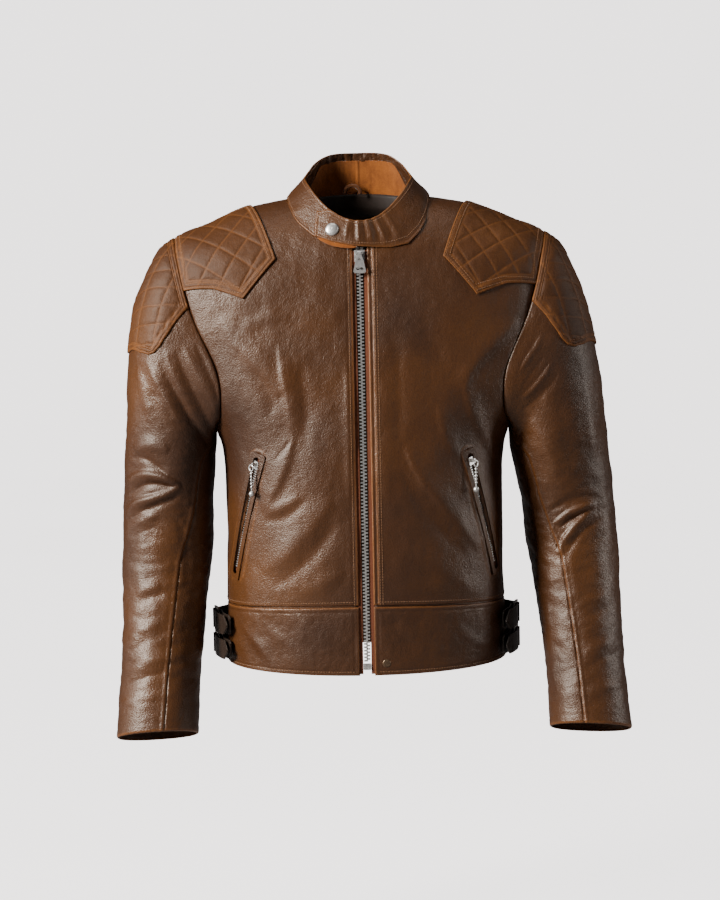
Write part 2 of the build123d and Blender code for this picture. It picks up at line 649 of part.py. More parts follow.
POCKET_SLIDER_AT = 8 - pocket_length / 2
POCKET_SLIDER = (10, 7.6)
LUG = (5, 1.6)
PULL_LIFT = 8.4              # the pull hangs this far out of the zip's plane
LUG_HEIGHT = PULL_LIFT - 1.95   # the lug ends just under the pull's ring
with BuildPart() as pocket_slider:
    with BuildSketch(pocket_plane.offset(-0.6)):
        with Locations((POCKET_SLIDER_AT, 0)):
            RectangleRounded(*POCKET_SLIDER, 1.5)
    extrude(amount=1.5)
    with BuildSketch(pocket_plane.offset(0.8)):
        with Locations((POCKET_SLIDER_AT - 1, 0)):
            Rectangle(*LUG)
    extrude(amount=LUG_HEIGHT)
finish_pair(pocket_slider.part, "pocket_slider")

BEAD_COUNT = 5
BEAD_PITCH = 4.2
BEAD_RADIUS = 1.7
BALL_RADIUS = 3.6
RING_RADIUS = 3.6
RING_WIRE = 0.8
PIN_RADIUS = 0.7
PIN_LENGTH = 27.0
pull_top = pocket_plane.from_local_coords(Vector(POCKET_SLIDER_AT - 1, 0, PULL_LIFT))
with BuildPart() as pocket_pull:
    ring_middle = pull_top - Vector(0, 0, RING_RADIUS)
    with Locations(Plane(origin=ring_middle, z_dir=Vector(pocket_out.X, pocket_out.Y, 0))):
        Torus(RING_RADIUS, RING_WIRE)
    ring_foot = pull_top.Z - 2 * RING_RADIUS
    with Locations((pull_top.X, pull_top.Y, ring_foot - PIN_LENGTH / 2 - 0.5)):
        Cylinder(PIN_RADIUS, PIN_LENGTH)
    first_bead = ring_foot - BEAD_RADIUS - 1.3
    for k in range(BEAD_COUNT):
        with Locations((pull_top.X, pull_top.Y, first_bead - k * BEAD_PITCH)):
            Sphere(BEAD_RADIUS)
    with Locations((pull_top.X, pull_top.Y, first_bead - BEAD_COUNT * BEAD_PITCH - 4)):
        Sphere(BALL_RADIUS)
finish_pair(pocket_pull.part, "pocket_pull")

# ---- side adjusters: a strap folded round the front bar of a frame, a tab round its rear bar ----
BAR_RADIUS = 1.2
FRAME_HEIGHT = 31.0
FRONT_BAR = (185.5, -9.0)
REAR_BAR = (190.0, 6.0)
STRAP_THICKNESS = 1.8
FOLD_RADIUS = 3.4
INNER_PLY = [(168.8, -56), (176.3, -38), (179.6, -24)]   # X, Y of the strap on the way to the bar
OUTER_PLY = [(187.4, -24), (181.5, -42), (172.5, -63)]   # and on the way back, to its pointed end
STRAP_CUT_X = 150.0          # the cut that points the strap starts here, inside it
POINT_LENGTH = 13.5
POINT_TIP = -64.5            # Y of the strap's tip
TAB_TAIL = (175.6, 29)       # X, Y where the rear tab turns in to the band
TAB_FLAP = [(174.6, 27.6), (176.9, 30.2), (168.5, 48), (165.8, 47)]


def strip_outline(points, thickness):
    """Closed outline of a strip of a given thickness along a line of points."""
    left, right = [], []
    for k, here in enumerate(points):
        ahead = Vector(*points[min(k + 1, len(points) - 1)]) - Vector(*points[max(k - 1, 0)])
        side = Vector(-ahead.Y, ahead.X).normalized() * (thickness / 2)
        left.append(Vector(*here) + side)
        right.append(Vector(*here) - side)
    return left + right[::-1]


fold = []
fold_reach = FOLD_RADIUS + STRAP_THICKNESS / 2
for k in range(9):
    turn = math.radians(180 - 22.5 * k)
    fold.append((FRONT_BAR[0] + fold_reach * math.cos(turn), FRONT_BAR[1] + fold_reach * math.sin(turn)))
strap_line = INNER_PLY + fold + OUTER_PLY
corner = STRAP_WIDTH / 2 + 1
with BuildPart() as side_straps:
    for z in STRAP_HEIGHTS:
        with BuildSketch(Plane.XY.offset(z - STRAP_WIDTH / 2)):
            with BuildLine():
                Polyline(*strip_outline(strap_line, STRAP_THICKNESS), close=True)
            make_face()
        extrude(amount=STRAP_WIDTH)
        with BuildSketch(Plane.YZ.offset(STRAP_CUT_X)):
            for way in (-1, 1):
                with BuildLine():
                    Polyline((POINT_TIP, z), (POINT_TIP, z + way * corner),
                             (POINT_TIP + POINT_LENGTH, z + way * corner), close=True)
                make_face()
        extrude(amount=CUT_DEPTH, mode=Mode.SUBTRACT)
finish_pair(side_straps.part, "side_straps")

with BuildPart() as buckle_tabs:
    for z in STRAP_HEIGHTS:
        with BuildSketch(Plane.XY.offset(z - STRAP_WIDTH / 2)):
            with Locations(REAR_BAR):
                Circle(FOLD_RADIUS)
            with Locations(TAB_TAIL):
                Circle(1.6)
            make_hull()
            with BuildLine():
                Polyline(*TAB_FLAP, close=True)
            make_face()
            with Locations(REAR_BAR):
                Circle(BAR_RADIUS + 0.05, mode=Mode.SUBTRACT)
        extrude(amount=STRAP_WIDTH)
finish_pair(buckle_tabs.part, "buckle_tabs")


def buckle_frame(z, side):
    """Rectangular wire frame with its two long bars upright."""
    with BuildPart(mode=Mode.PRIVATE) as wire:
        for bar in (FRONT_BAR, REAR_BAR):
            with Locations((bar[0], bar[1], z)):
                Cylinder(BAR_RADIUS, FRAME_HEIGHT)
        middle = ((FRONT_BAR[0] + REAR_BAR[0]) / 2, (FRONT_BAR[1] + REAR_BAR[1]) / 2)
        length = math.dist(FRONT_BAR, REAR_BAR)
        turn = math.degrees(math.atan2(REAR_BAR[1] - FRONT_BAR[1], REAR_BAR[0] - FRONT_BAR[0]))
        for end in (-1, 1):
            with Locations(Location((middle[0], middle[1], z + end * (FRAME_HEIGHT - 2 * BAR_RADIUS) / 2),
                                    (0, 0, turn))):
                Box(length + 2 * BAR_RADIUS, 2 * BAR_RADIUS, 2 * BAR_RADIUS)
    return wire.part if side > 0 else mirror(wire.part, about=Plane.YZ)


for level, z in zip(("upper", "lower"), STRAP_HEIGHTS):
    for name, side in (("left", 1), ("right", -1)):
        finish(buckle_frame(z, side), f"buckle_frame_{level}_{name}")

# ---- sleeves ----
FRONT_SEAM = 125.0           # angles of the two long seams
BACK_SEAM = -118.0
SLEEVE_SEAM = 0.9            # each panel stops this many degrees short of a seam
UPPER_ANGLES = (BACK_SEAM + SLEEVE_SEAM, FRONT_SEAM - SLEEVE_SEAM)
UNDER_ANGLES = (FRONT_SEAM + SLEEVE_SEAM, 360 + BACK_SEAM - SLEEVE_SEAM)
SLEEVE_PATCH_ANGLES = (-76, 64)
SLEEVE_PATCH_SPAN = (0, 4.6)
SLEEVE_PATCH_LIFT = PATCH_GAP + 0.3
BODY_BLOCK = 900.0           # block that cuts the sleeve off at the armhole
slab_plane = armhole_plane.offset(SLEEVE_GAP)
with BuildPart() as body_side:
    with BuildSketch(slab_plane):
        Rectangle(BODY_BLOCK, BODY_BLOCK)
    extrude(amount=-60)
body_side_blocks = {1: body_side.part, -1: mirror(body_side.part, about=Plane.YZ)}

for name, side in (("left", 1), ("right", -1)):
    with BuildPart() as sleeve_upper:
        add(sleeve_layer(UPPER_ANGLES, (0, CUFF), 0, LEATHER, side, 20, 24))
        add(body_side_blocks[side], mode=Mode.SUBTRACT)
    finish(sleeve_upper.part, f"sleeve_upper_{name}")
    with BuildPart() as sleeve_under:
        add(sleeve_layer(UNDER_ANGLES, (0, CUFF), 0, LEATHER, side, 12, 24))
        add(body_side_blocks[side], mode=Mode.SUBTRACT)
    finish(sleeve_under.part, f"sleeve_under_{name}")
    with BuildPart() as sleeve_patch:
        add(sleeve_layer(SLEEVE_PATCH_ANGLES, SLEEVE_PATCH_SPAN, -SLEEVE_PATCH_LIFT - PATCH_THICKNESS,
                         PATCH_THICKNESS, side, 14, 12))
        add(body_side_blocks[side], mode=Mode.SUBTRACT)
    finish(sleeve_patch.part, f"sleeve_patch_{name}")
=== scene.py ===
import json
import math

import bpy
import numpy as np
from mathutils import Matrix, Vector, noise


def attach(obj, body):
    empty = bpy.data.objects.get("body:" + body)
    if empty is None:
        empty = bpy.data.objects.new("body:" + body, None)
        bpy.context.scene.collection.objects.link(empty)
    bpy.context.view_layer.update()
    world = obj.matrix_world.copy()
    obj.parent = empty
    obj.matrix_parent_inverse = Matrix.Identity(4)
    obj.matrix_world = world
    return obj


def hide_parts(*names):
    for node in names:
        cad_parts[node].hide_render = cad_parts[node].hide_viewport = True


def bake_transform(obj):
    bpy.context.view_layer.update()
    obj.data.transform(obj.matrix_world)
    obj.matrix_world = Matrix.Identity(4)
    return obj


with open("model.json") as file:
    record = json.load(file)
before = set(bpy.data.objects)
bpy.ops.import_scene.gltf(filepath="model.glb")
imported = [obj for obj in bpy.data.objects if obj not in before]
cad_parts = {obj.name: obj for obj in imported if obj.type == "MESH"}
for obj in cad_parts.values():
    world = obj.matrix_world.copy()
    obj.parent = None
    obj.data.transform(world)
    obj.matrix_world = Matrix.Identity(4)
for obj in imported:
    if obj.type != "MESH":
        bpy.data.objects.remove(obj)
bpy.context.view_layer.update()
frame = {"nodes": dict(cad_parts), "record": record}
MM = 0.001

# ----------------------------------------- driving shapes, mm, the same as the design's
CHEST_TOP = (-80.0, -60.0)
CHEST_FOOT = (-118.0, -575.0)
CHEST_BOW = 20.0
PLACKET_EDGE = 9.0
SPLAY = 7.0
ARMHOLE_TOP = (228.0, -50.0)
ARMHOLE_PIT = (183.0, -285.0)
TORSO = np.array([
    (175.0, -574.0, -579.0, -578.0, 108.0, 2.3),
    (173.5, -500.0, -492.5, -500.0, 106.0, 2.3),
    (172.5, -400.0, -402.0, -400.0, 104.0, 2.3),
    (174.0, -322.0, -322.0, -318.0, 107.0, 2.35),
    (184.0, -283.0, -275.0, -270.0, 110.0, 2.4),
    (214.0, -235.0, -225.0, -215.0, 114.0, 2.5),
    (240.0, -160.0, -172.0, -160.0, 116.0, 2.5),
    (246.0, -92.0, -130.0, -105.0, 111.0, 2.5),
    (229.0, -50.0, -101.0, -64.0, 98.0, 2.4),
    (181.0, -29.0, -83.0, -34.0, 87.0, 2.3),
    (138.0, -11.0, -71.0, -13.0, 78.0, 2.2),
    (108.0, -4.0, -63.0, 0.0, 73.0, 2.1),
    (89.0, -1.0, -57.0, 8.0, 68.0, 2.0),
])
WAIST = 1.0
NECK = len(TORSO) - 1.0
COLLAR = np.array([
    (88.5, 0.0, -56.0, 9.0, 79.6, 67.5),
    (81.0, 10.0, -46.0, 24.0, 78.0, 65.0),
    (71.0, 20.0, -37.0, 40.0, 75.5, 61.5),
    (61.5, 30.0, -28.5, 55.0, 72.0, 58.0),
])
RIM = len(COLLAR) - 1.0
SLEEVE = np.array([
    (228.0, -50.0, 183.0, -285.0, 67.0, 2.0, 0.0),
    (245.0, -63.0, 184.0, -294.0, 70.0, 2.0, 0.0),
    (262.0, -92.0, 184.5, -304.0, 73.0, 2.0, 0.0),
    (276.0, -128.0, 185.5, -316.0, 75.0, 3.0, 0.0),
    (285.0, -168.0, 187.5, -331.0, 75.5, 4.0, 0.0),
    (292.0, -215.0, 190.5, -350.0, 74.5, 5.0, 0.0),
    (297.0, -262.0, 194.0, -375.0, 72.0, 7.0, 0.0),
    (301.0, -315.0, 196.0, -402.0, 68.0, 9.0, 0.0),
    (306.0, -378.0, 198.5, -432.0, 64.0, 8.0, 3.0),
    (309.0, -445.0, 203.0, -462.0, 60.0, 0.0, 9.0),
    (311.0, -520.0, 210.0, -522.0, 55.0, -18.0, 14.0),
    (312.5, -592.0, 217.0, -590.0, 51.0, -40.0, 18.0),
    (318.0, -661.0, 219.0, -656.0, 48.5, -62.0, 18.0),
])
CUFF = len(SLEEVE) - 1.0


# ----------------------------------------- surfaces
def interpolate(rows, t):
    """Values at t (an array) along a table, on a smooth curve through all its rows."""
    last = len(rows) - 1
    t = np.asarray(t, float)
    k = np.clip(np.floor(t).astype(int), 0, last - 1)
    f = (t - k)[..., None]
    p, q, r, s = (rows[np.clip(k + i, 0, last)] for i in (-1, 0, 1, 2))
    slope_q = (r - p) / 2
    slope_r = (s - q) / 2
    value = (2 * q - 2 * r + slope_q + slope_r) * f**3 + (3 * r - 3 * q - 2 * slope_q - slope_r) * f**2
    return np.moveaxis(value + slope_q * f + q, -1, 0)


def lobe(degrees, power):
    s = np.sin(np.radians(degrees))
    c = np.cos(np.radians(degrees))
    size = (np.abs(s)**power + np.abs(c)**power)**(1 / power)
    return s / size, c / size


def ring_height(degrees, side, front, back):
    s = np.sin(np.radians(degrees))
    c = np.cos(np.radians(degrees))
    return side * s * s + np.where(c > 0, front, back) * c * c


chord = math.dist(CHEST_TOP, CHEST_FOOT)
arc_radius = chord**2 / (8 * CHEST_BOW) + CHEST_BOW / 2
arc_inset = arc_radius - CHEST_BOW
arc_y = (CHEST_TOP[0] + CHEST_FOOT[0]) / 2 + arc_inset * (CHEST_TOP[1] - CHEST_FOOT[1]) / chord
arc_z = (CHEST_TOP[1] + CHEST_FOOT[1]) / 2 + arc_inset * (CHEST_FOOT[0] - CHEST_TOP[0]) / chord


def chest_y(z):
    return arc_y - np.sqrt(arc_radius**2 - (z - arc_z)**2)


def torso(degrees, t):
    """Points on the jacket's outer face, mm: 0 degrees is the front, 90 the wearer's left side."""
    half, side, front, back, behind, power = interpolate(TORSO, t)
    s, c = lobe(degrees, power)
    y = np.where(c > 0, c * chest_y(front), -c * behind)
    return np.stack(np.broadcast_arrays(half * s, y, ring_height(degrees, side, front, back)), -1)


def collar(degrees, t):
    """Points on the collar's outer face: like the design's, with the rim level over more of the back."""
    half, side, front, back, ahead, behind = interpolate(COLLAR, t)
    s, c = lobe(degrees, 2.0)
    y = np.where(c > 0, -c * ahead, -c * behind)
    half = half + 1.5 * t
    side = side - 2.0 * t
    back_share = np.where(np.asarray(c) > 0, 0.0, 1 - np.abs(s)**(2 + 2.2 * np.clip(t, 0, 1)))
    z = np.where(c > 0, side * s * s + front * c * c, side + (back - side) * back_share)
    return np.stack(np.broadcast_arrays(half * s, y, z), -1)


def surface_normal(surface, u, t, last):
    """Unit normals out of the garment."""
    low = np.clip(t - 0.02, 0, last)
    high = np.clip(t + 0.02, 0, last)
    across = surface(u + 0.5, t) - surface(u - 0.5, t)
    along = surface(u, high) - surface(u, low)
    n = np.cross(across, along)
    return n / np.maximum(np.linalg.norm(n, axis=-1, keepdims=True), 1e-9)


def solve(function, low, high, steps=40):
    """Where an increasing function crosses zero between low and high, for arrays."""
    for _ in range(steps):
        middle = (low + high) / 2
        below = function(middle) < 0
        low = np.where(below, middle, low)
        high = np.where(below, high, middle)
    return (low + high) / 2


# ----------------------------------------- the armhole seam
armhole_length = math.dist(ARMHOLE_TOP, ARMHOLE_PIT)
ARM_UP = np.array([(ARMHOLE_TOP[0] - ARMHOLE_PIT[0]) / armhole_length, 0,
                   (ARMHOLE_TOP[1] - ARMHOLE_PIT[1]) / armhole_length])
ARM_OUT = np.array([ARM_UP[2], 0, -ARM_UP[0]])
ARM_CENTRE = np.array([(ARMHOLE_TOP[0] + ARMHOLE_PIT[0]) / 2, 2.0, (ARMHOLE_TOP[1] + ARMHOLE_PIT[1]) / 2])


def bump(x, centre, width):
    return np.exp(-((x - centre) / width)**2)


def smooth(x, low, high):
    f = np.clip((x - low) / (high - low), 0, 1)
    return f * f * (3 - 2 * f)


def armhole_side(p):
    """Signed distance-like value, positive outside the armhole seam; the seam is scooped in front."""
    scoop = 20 * bump(p[..., 2], -218, 62) * smooth(-p[..., 1], 8, 55) * smooth(p[..., 2], -286, -262)
    return (p - ARM_CENTRE) @ ARM_OUT + scoop


def ridge_line(t):
    return armhole_side(torso(90.0, t))


T_PIT = float(solve(ridge_line, np.array(3.2), np.array(4.6)))
T_RIDGE = float(solve(lambda t: -ridge_line(t), np.array(7.0), np.array(9.0)))


def armhole_angle(t, front):
    """Angle on the torso at which row t meets the armhole seam, in front or behind."""
    t = np.asarray(t, float)
    if front:
        angle = solve(lambda u: armhole_side(torso(u, t)), np.full(t.shape, 25.0), np.full(t.shape, 90.0))
    else:
        angle = 180 - solve(lambda u: armhole_side(torso(180 - u, t)), np.full(t.shape, 25.0),
                            np.full(t.shape, 90.0))
    inside = (t > T_PIT) & (t < T_RIDGE)
    return np.where(inside, angle, 90.0)


def armhole_ring(phi):
    """Points of the armhole seam: phi 0 at the ridge, 90 in front, 180 at the armpit, 270 behind."""
    phi = np.asarray(phi, float) % 360
    t = T_RIDGE + (T_PIT - T_RIDGE) * (1 - np.cos(np.radians(phi))) / 2
    u = np.where(phi < 180, armhole_angle(t, True), armhole_angle(t, False))
    return torso(u, t)


def sleeve(phi, t):
    """Points on the left sleeve without its splay: phi 0 outer side, 90 front, 180 armpit side."""
    out_x, out_z, in_x, in_z, half, y, tilt = interpolate(SLEEVE, t)
    s, c = lobe(phi, 2.15)
    x = (out_x + in_x) / 2 + (out_x - in_x) / 2 * c
    z = (out_z + in_z) / 2 + (out_z - in_z) / 2 * c
    lean = np.radians(tilt)
    ring = np.stack(np.broadcast_arrays(x, y - half * s * np.cos(lean), z + half * s * np.sin(lean)), -1)
    shape = ring.shape[:-1]
    phi_all = np.broadcast_to(phi, shape)
    keep = np.broadcast_to(smooth(t, 0, 3.2), shape)[..., None]
    base = np.stack([np.interp(phi_all % 360, RING_PHI, RING[:, i], period=360) for i in range(3)], -1)
    first = np.stack(list(interpolate(SLEEVE, 0.0 * np.asarray(t))), -1)
    first_x = (first[..., 0] + first[..., 2]) / 2 + (first[..., 0] - first[..., 2]) / 2 * c
    first_z = (first[..., 1] + first[..., 3]) / 2 + (first[..., 1] - first[..., 3]) / 2 * c
    start = np.stack(np.broadcast_arrays(first_x, first[..., 5] - first[..., 4] * s, first_z), -1)
    return ring + (base - start) * (1 - keep)


RING_PHI = np.linspace(0, 360, 241)
RING = armhole_ring(RING_PHI[:-1])
RING = np.vstack([RING, RING[:1]])


def splayed(points, t, side):
    ramp = np.clip((np.asarray(t) - 3) / 6, 0, 1)
    out = points.copy()
    out[..., 0] = side * (points[..., 0] + side * SPLAY * ramp)
    return out


# ----------------------------------------- noise and folds
def noise_field(points, scale, octaves=1, offset=0.0):
    """Smooth noise in -1..1 at each point, seen at a feature size in mm."""
    flat = points.reshape(-1, 3) / scale + offset
    if octaves == 1:
        values = [noise.noise(p) for p in flat.tolist()]
    else:
        values = [noise.fractal(p, 0.6, 2.0, octaves) for p in flat.tolist()]
    return np.array(values).reshape(points.shape[:-1])


def folds(x, z, lines):
    """Summed ridges (or creases, when height is negative) along lines of (x, z) points, mm.
    A ridge fades at both ends, and the side away from its steep flank falls off more slowly."""
    total = np.zeros(x.shape)
    for height, width, skew, line in lines:
        line = np.array(line, float)
        for _ in range(2):
            middle = (line[:-1] + line[1:]) / 2
            inner = np.empty((2 * len(middle) + 2, 2))
            inner[0], inner[-1] = line[0], line[-1]
            inner[1:-1:2] = line[:-1] * 0.75 + line[1:] * 0.25
            inner[2:-1:2] = line[:-1] * 0.25 + line[1:] * 0.75
            line = inner
        steps = np.linalg.norm(np.diff(line, axis=0), axis=1)
        length = steps.sum()
        best = np.full(x.shape, 1e9)
        along = np.zeros(x.shape)
        offset = np.zeros(x.shape)
        run = 0.0
        for (ax, az), (bx, bz), step in zip(line[:-1], line[1:], steps):
            dx, dz = (bx - ax) / step, (bz - az) / step
            place = np.clip((x - ax) * dx + (z - az) * dz, 0, step)
            off_x, off_z = x - ax - dx * place, z - az - dz * place
            d = np.hypot(off_x, off_z)
            closer = d < best
            best = np.where(closer, d, best)
            along = np.where(closer, run + place, along)
            offset = np.where(closer, off_x * dz - off_z * dx, offset)
            run += step
        end = np.sin(np.pi * np.clip(along / length, 0.0, 1.0))**0.55
        reach = width * (0.4 + 0.6 * end) * np.where(offset > 0, skew, 1 / skew)
        total += height * end * np.exp(-(best / reach)**2)
    return total


# ----------------------------------------- meshes
def set_mesh(name, points, faces):
    mesh = bpy.data.meshes.new(name)
    mesh.from_pydata((np.asarray(points).reshape(-1, 3) * MM).tolist(), [], faces)
    mesh.update()
    mesh.polygons.foreach_set("use_smooth", [True] * len(mesh.polygons))
    piece = bpy.data.objects.new(name, mesh)
    bpy.context.scene.collection.objects.link(piece)
    return piece


def grid_normals(points, closed=False):
    if closed:
        across = np.roll(points, -1, 1) - np.roll(points, 1, 1)
    else:
        across = np.gradient(points, axis=1)
    n = np.cross(across, np.gradient(points, axis=0))
    return n / np.maximum(np.linalg.norm(n, axis=-1, keepdims=True), 1e-9)


def slab(name, points, thickness, material, body, wear=None, closed=False, hole=None):
    """Sheet with thickness: the outer grid, a copy below it and a rim round the open edges."""
    rows, columns = points.shape[:2]
    inner = points - grid_normals(points, closed) * thickness
    count = rows * columns
    wrap = columns if closed else columns - 1
    j, i = np.meshgrid(np.arange(rows - 1), np.arange(wrap), indexing="ij")
    a = j * columns + i
    b = j * columns + (i + 1) % columns
    quads = np.stack([a, b, b + columns, a + columns], -1).reshape(-1, 4)
    if hole is not None:
        quads = quads[~hole.reshape(-1)[quads].any(1)]
    faces = quads.tolist() + (quads[:, ::-1] + count).tolist()
    rim = [(i, (i + 1) % columns) for i in range(wrap)]
    top = (rows - 1) * columns
    rim += [(top + (i + 1) % columns, top + i) for i in range(wrap)]
    if not closed:
        rim += [((j + 1) * columns, j * columns) for j in range(rows - 1)]
        rim += [(j * columns + columns - 1, (j + 1) * columns + columns - 1) for j in range(rows - 1)]
    faces += [(b, a, a + count, b + count) for a, b in rim]
    piece = set_mesh(name, np.vstack([points.reshape(-1, 3), inner.reshape(-1, 3)]), faces)
    if wear is not None:
        layer = piece.data.attributes.new("wear", "FLOAT", "POINT")
        layer.data.foreach_set("value", np.tile(wear.reshape(-1), 2).astype(np.float32))
    piece.data.materials.append(material)
    if body:
        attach(piece, body)
    return piece


def mirror_grid(*grids):
    """The right side's grids: X turned over, and the columns in reverse so that faces look outward."""
    flipped = []
    for grid in grids:
        grid = grid[:, ::-1].copy()
        if grid.ndim == 3:
            grid[..., 0] *= -1
        flipped.append(grid)
    return flipped


def spaced(length, step, edges=(0, 0.5, 1.1, 1.9, 2.9, 4.0, 5.2, 6.6)):
    """Fractions 0..1 along a length in mm: one every step, and closer near both ends."""
    edges = np.array(edges)
    middle = np.arange(edges[-1] + step, length - edges[-1] - step / 2, step)
    return np.concatenate([edges, middle, length - edges[::-1]]) / length


def edge_distance(points, sides="lrbt"):
    """Distance in mm of each grid point from the chosen borders, measured along the grid."""
    across = np.concatenate([np.zeros((points.shape[0], 1)),
                             np.cumsum(np.linalg.norm(np.diff(points, axis=1), axis=-1), 1)], 1)
    along = np.concatenate([np.zeros((1, points.shape[1])),
                            np.cumsum(np.linalg.norm(np.diff(points, axis=0), axis=-1), 0)], 0)
    choices = {"l": across, "r": across[:, -1:] - across, "b": along, "t": along[-1:] - along}
    return np.min([choices[s] for s in sides], axis=0)


def rolled(distance, radius=1.3, sink=1.0):
    """How far a turned edge rounds down, by distance from the edge."""
    f = np.clip(1 - distance / radius, 0, 1)
    return sink * (1 - np.sqrt(np.maximum(1 - f * f, 0)))


def worn(distance, reach=1.5):
    return np.exp(-(distance / reach)**2)


def along_path(points, pitch):
    """Points every pitch mm along a path, with the path's direction there."""
    steps = np.linalg.norm(np.diff(points, axis=0), axis=1)
    run = np.concatenate([[0], np.cumsum(steps)])
    places = np.arange(pitch / 2, run[-1], pitch)
    at = np.stack([np.interp(places, run, points[:, i]) for i in range(3)], -1)
    ahead = np.stack([np.interp(places + 0.5, run, points[:, i]) for i in range(3)], -1)
    behind = np.stack([np.interp(places - 0.5, run, points[:, i]) for i in range(3)], -1)
    direction = ahead - behind
    return at, direction / np.maximum(np.linalg.norm(direction, axis=1, keepdims=True), 1e-9)


STITCH_PITCH = 3.3
STITCH_LENGTH = 2.5
STITCH_RADIUS = 0.42
stitch_rows = {}


def stitches(group, path, lift):
    """A row of stitches along a path of points, raised along the lift vectors given for the path."""
    run = np.concatenate([[0], np.cumsum(np.linalg.norm(np.diff(path, axis=0), axis=1))])
    at, direction = along_path(path, STITCH_PITCH)
    places = np.arange(STITCH_PITCH / 2, run[-1], STITCH_PITCH)
    up = np.stack([np.interp(places, run, lift[:, i]) for i in range(3)], -1)
    up /= np.maximum(np.linalg.norm(up, axis=1, keepdims=True), 1e-9)
    stitch_rows.setdefault(group, []).append((at + up * 0.12, direction, up))


def sew(group, name, place):
    """Makes one mesh of a group's stitches and hands it to place."""
    at, direction, up = (np.concatenate(v) for v in zip(*stitch_rows[group]))
    side = np.cross(direction, up)
    side /= np.maximum(np.linalg.norm(side, axis=1, keepdims=True), 1e-9)
    rings = []
    for along, radius in ((-0.5, 0.35), (-0.36, 0.9), (0.0, 1.0), (0.36, 0.9), (0.5, 0.35)):
        for k in range(6):
            c, s = math.cos(math.radians(60 * k)), math.sin(math.radians(60 * k))
            rings.append(at + direction * along * STITCH_LENGTH
                         + (side * c + up * s * 0.8) * radius * STITCH_RADIUS)
    points = np.stack(rings, 1)
    faces = []
    for n in range(len(at)):
        first = n * 30
        for r in range(4):
            for k in range(6):
                a, b = first + r * 6 + k, first + r * 6 + (k + 1) % 6
                faces.append((a, b, b + 6, a + 6))
        faces.append(tuple(range(first + 5, first - 1, -1)))
        faces.append(tuple(range(first + 24, first + 30)))
    piece = set_mesh(name, points, faces)
    piece.data.materials.append(THREAD)
    place(piece)
    return piece


# ----------------------------------------- materials
def new_material(name):
    material = bpy.data.materials.new(name)
    material.use_nodes = True
    nodes = material.node_tree.nodes
    return material, nodes, material.node_tree.links, nodes["Principled BSDF"]


def ramp(nodes, stops):
    node = nodes.new("ShaderNodeValToRGB")
    while len(node.color_ramp.elements) < len(stops):
        node.color_ramp.elements.new(0.5)
    for element, (place, color) in zip(node.color_ramp.elements, stops):
        element.position = place
        element.color = (*color, 1)
    return node


def texture_noise(nodes, links, coordinates, scale, detail=4, roughness=0.55, distortion=0.0):
    node = nodes.new("ShaderNodeTexNoise")
    node.inputs["Scale"].default_value = scale
    node.inputs["Detail"].default_value = detail
    node.inputs["Roughness"].default_value = roughness
    node.inputs["Distortion"].default_value = distortion
    links.new(coordinates, node.inputs["Vector"])
    return node.outputs["Fac"]


def math_node(nodes, links, operation, a, b, clamp=False):
    node = nodes.new("ShaderNodeMath")
    node.operation = operation
    node.use_clamp = clamp
    for socket, value in zip(node.inputs, (a, b)):
        if isinstance(value, (int, float)):
            socket.default_value = value
        else:
            links.new(value, socket)
    return node.outputs[0]


def mix_color(nodes, links, factor, a, b, blend="MIX"):
    node = nodes.new("ShaderNodeMix")
    node.data_type = "RGBA"
    node.blend_type = blend
    for socket, value in ((node.inputs[0], factor), (node.inputs[6], a), (node.inputs[7], b)):
        if isinstance(value, (int, float)):
            socket.default_value = value
        elif isinstance(value, tuple):
            socket.default_value = (*value, 1)
        else:
            links.new(value, socket)
    return node.outputs[2]


def leather(name, dark, middle, light, edge=(0.20, 0.068, 0.014), rough=(0.36, 0.48), grain=1.0, shine=0.55):
    """Pull-up leather: softly clouded colour, pebble grain, scuffed lighter edges."""
    material, nodes, links, shader = new_material(name)
    place = nodes.new("ShaderNodeTexCoord").outputs["Object"]
    clouds = texture_noise(nodes, links, place, 7, 3, 0.45, distortion=0.2)
    tones = ramp(nodes, [(0.26, dark), (0.5, middle), (0.74, light)])
    links.new(clouds, tones.inputs["Fac"])
    wear = nodes.new("ShaderNodeAttribute")
    wear.attribute_name = "wear"
    scuff = texture_noise(nodes, links, place, 260, 4, 0.7)
    worn = math_node(nodes, links, "MULTIPLY", wear.outputs["Fac"],
                     math_node(nodes, links, "ADD", 0.35, scuff), True)
    color = mix_color(nodes, links, worn, tones.outputs["Color"], edge)
    pebble = texture_noise(nodes, links, place, 620, 2, 0.5)
    creases = texture_noise(nodes, links, place, 170, 3, 0.5)
    height = math_node(nodes, links, "ADD", pebble, math_node(nodes, links, "MULTIPLY", creases, 0.7))
    relief = nodes.new("ShaderNodeBump")
    relief.inputs["Strength"].default_value = 0.6 * grain
    relief.inputs["Distance"].default_value = 0.0009
    links.new(height, relief.inputs["Height"])
    links.new(relief.outputs["Normal"], shader.inputs["Normal"])
    grains = ramp(nodes, [(0.36, (0.62, 0.62, 0.62)), (0.56, (1.0, 1.0, 1.0))])
    links.new(pebble, grains.inputs["Fac"])
    color = mix_color(nodes, links, 0.6, color, grains.outputs["Color"], "MULTIPLY")
    links.new(color, shader.inputs["Base Color"])
    polish = nodes.new("ShaderNodeMapRange")
    links.new(clouds, polish.inputs["Value"])
    polish.inputs["From Min"].default_value = 0.3
    polish.inputs["From Max"].default_value = 0.7
    polish.inputs["To Min"].default_value = rough[1]
    polish.inputs["To Max"].default_value = rough[0]
    links.new(polish.outputs["Result"], shader.inputs["Roughness"])
    shader.inputs["Specular IOR Level"].default_value = shine
    shader.inputs["Specular Tint"].default_value = (1.0, 0.90, 0.80, 1)
    return material


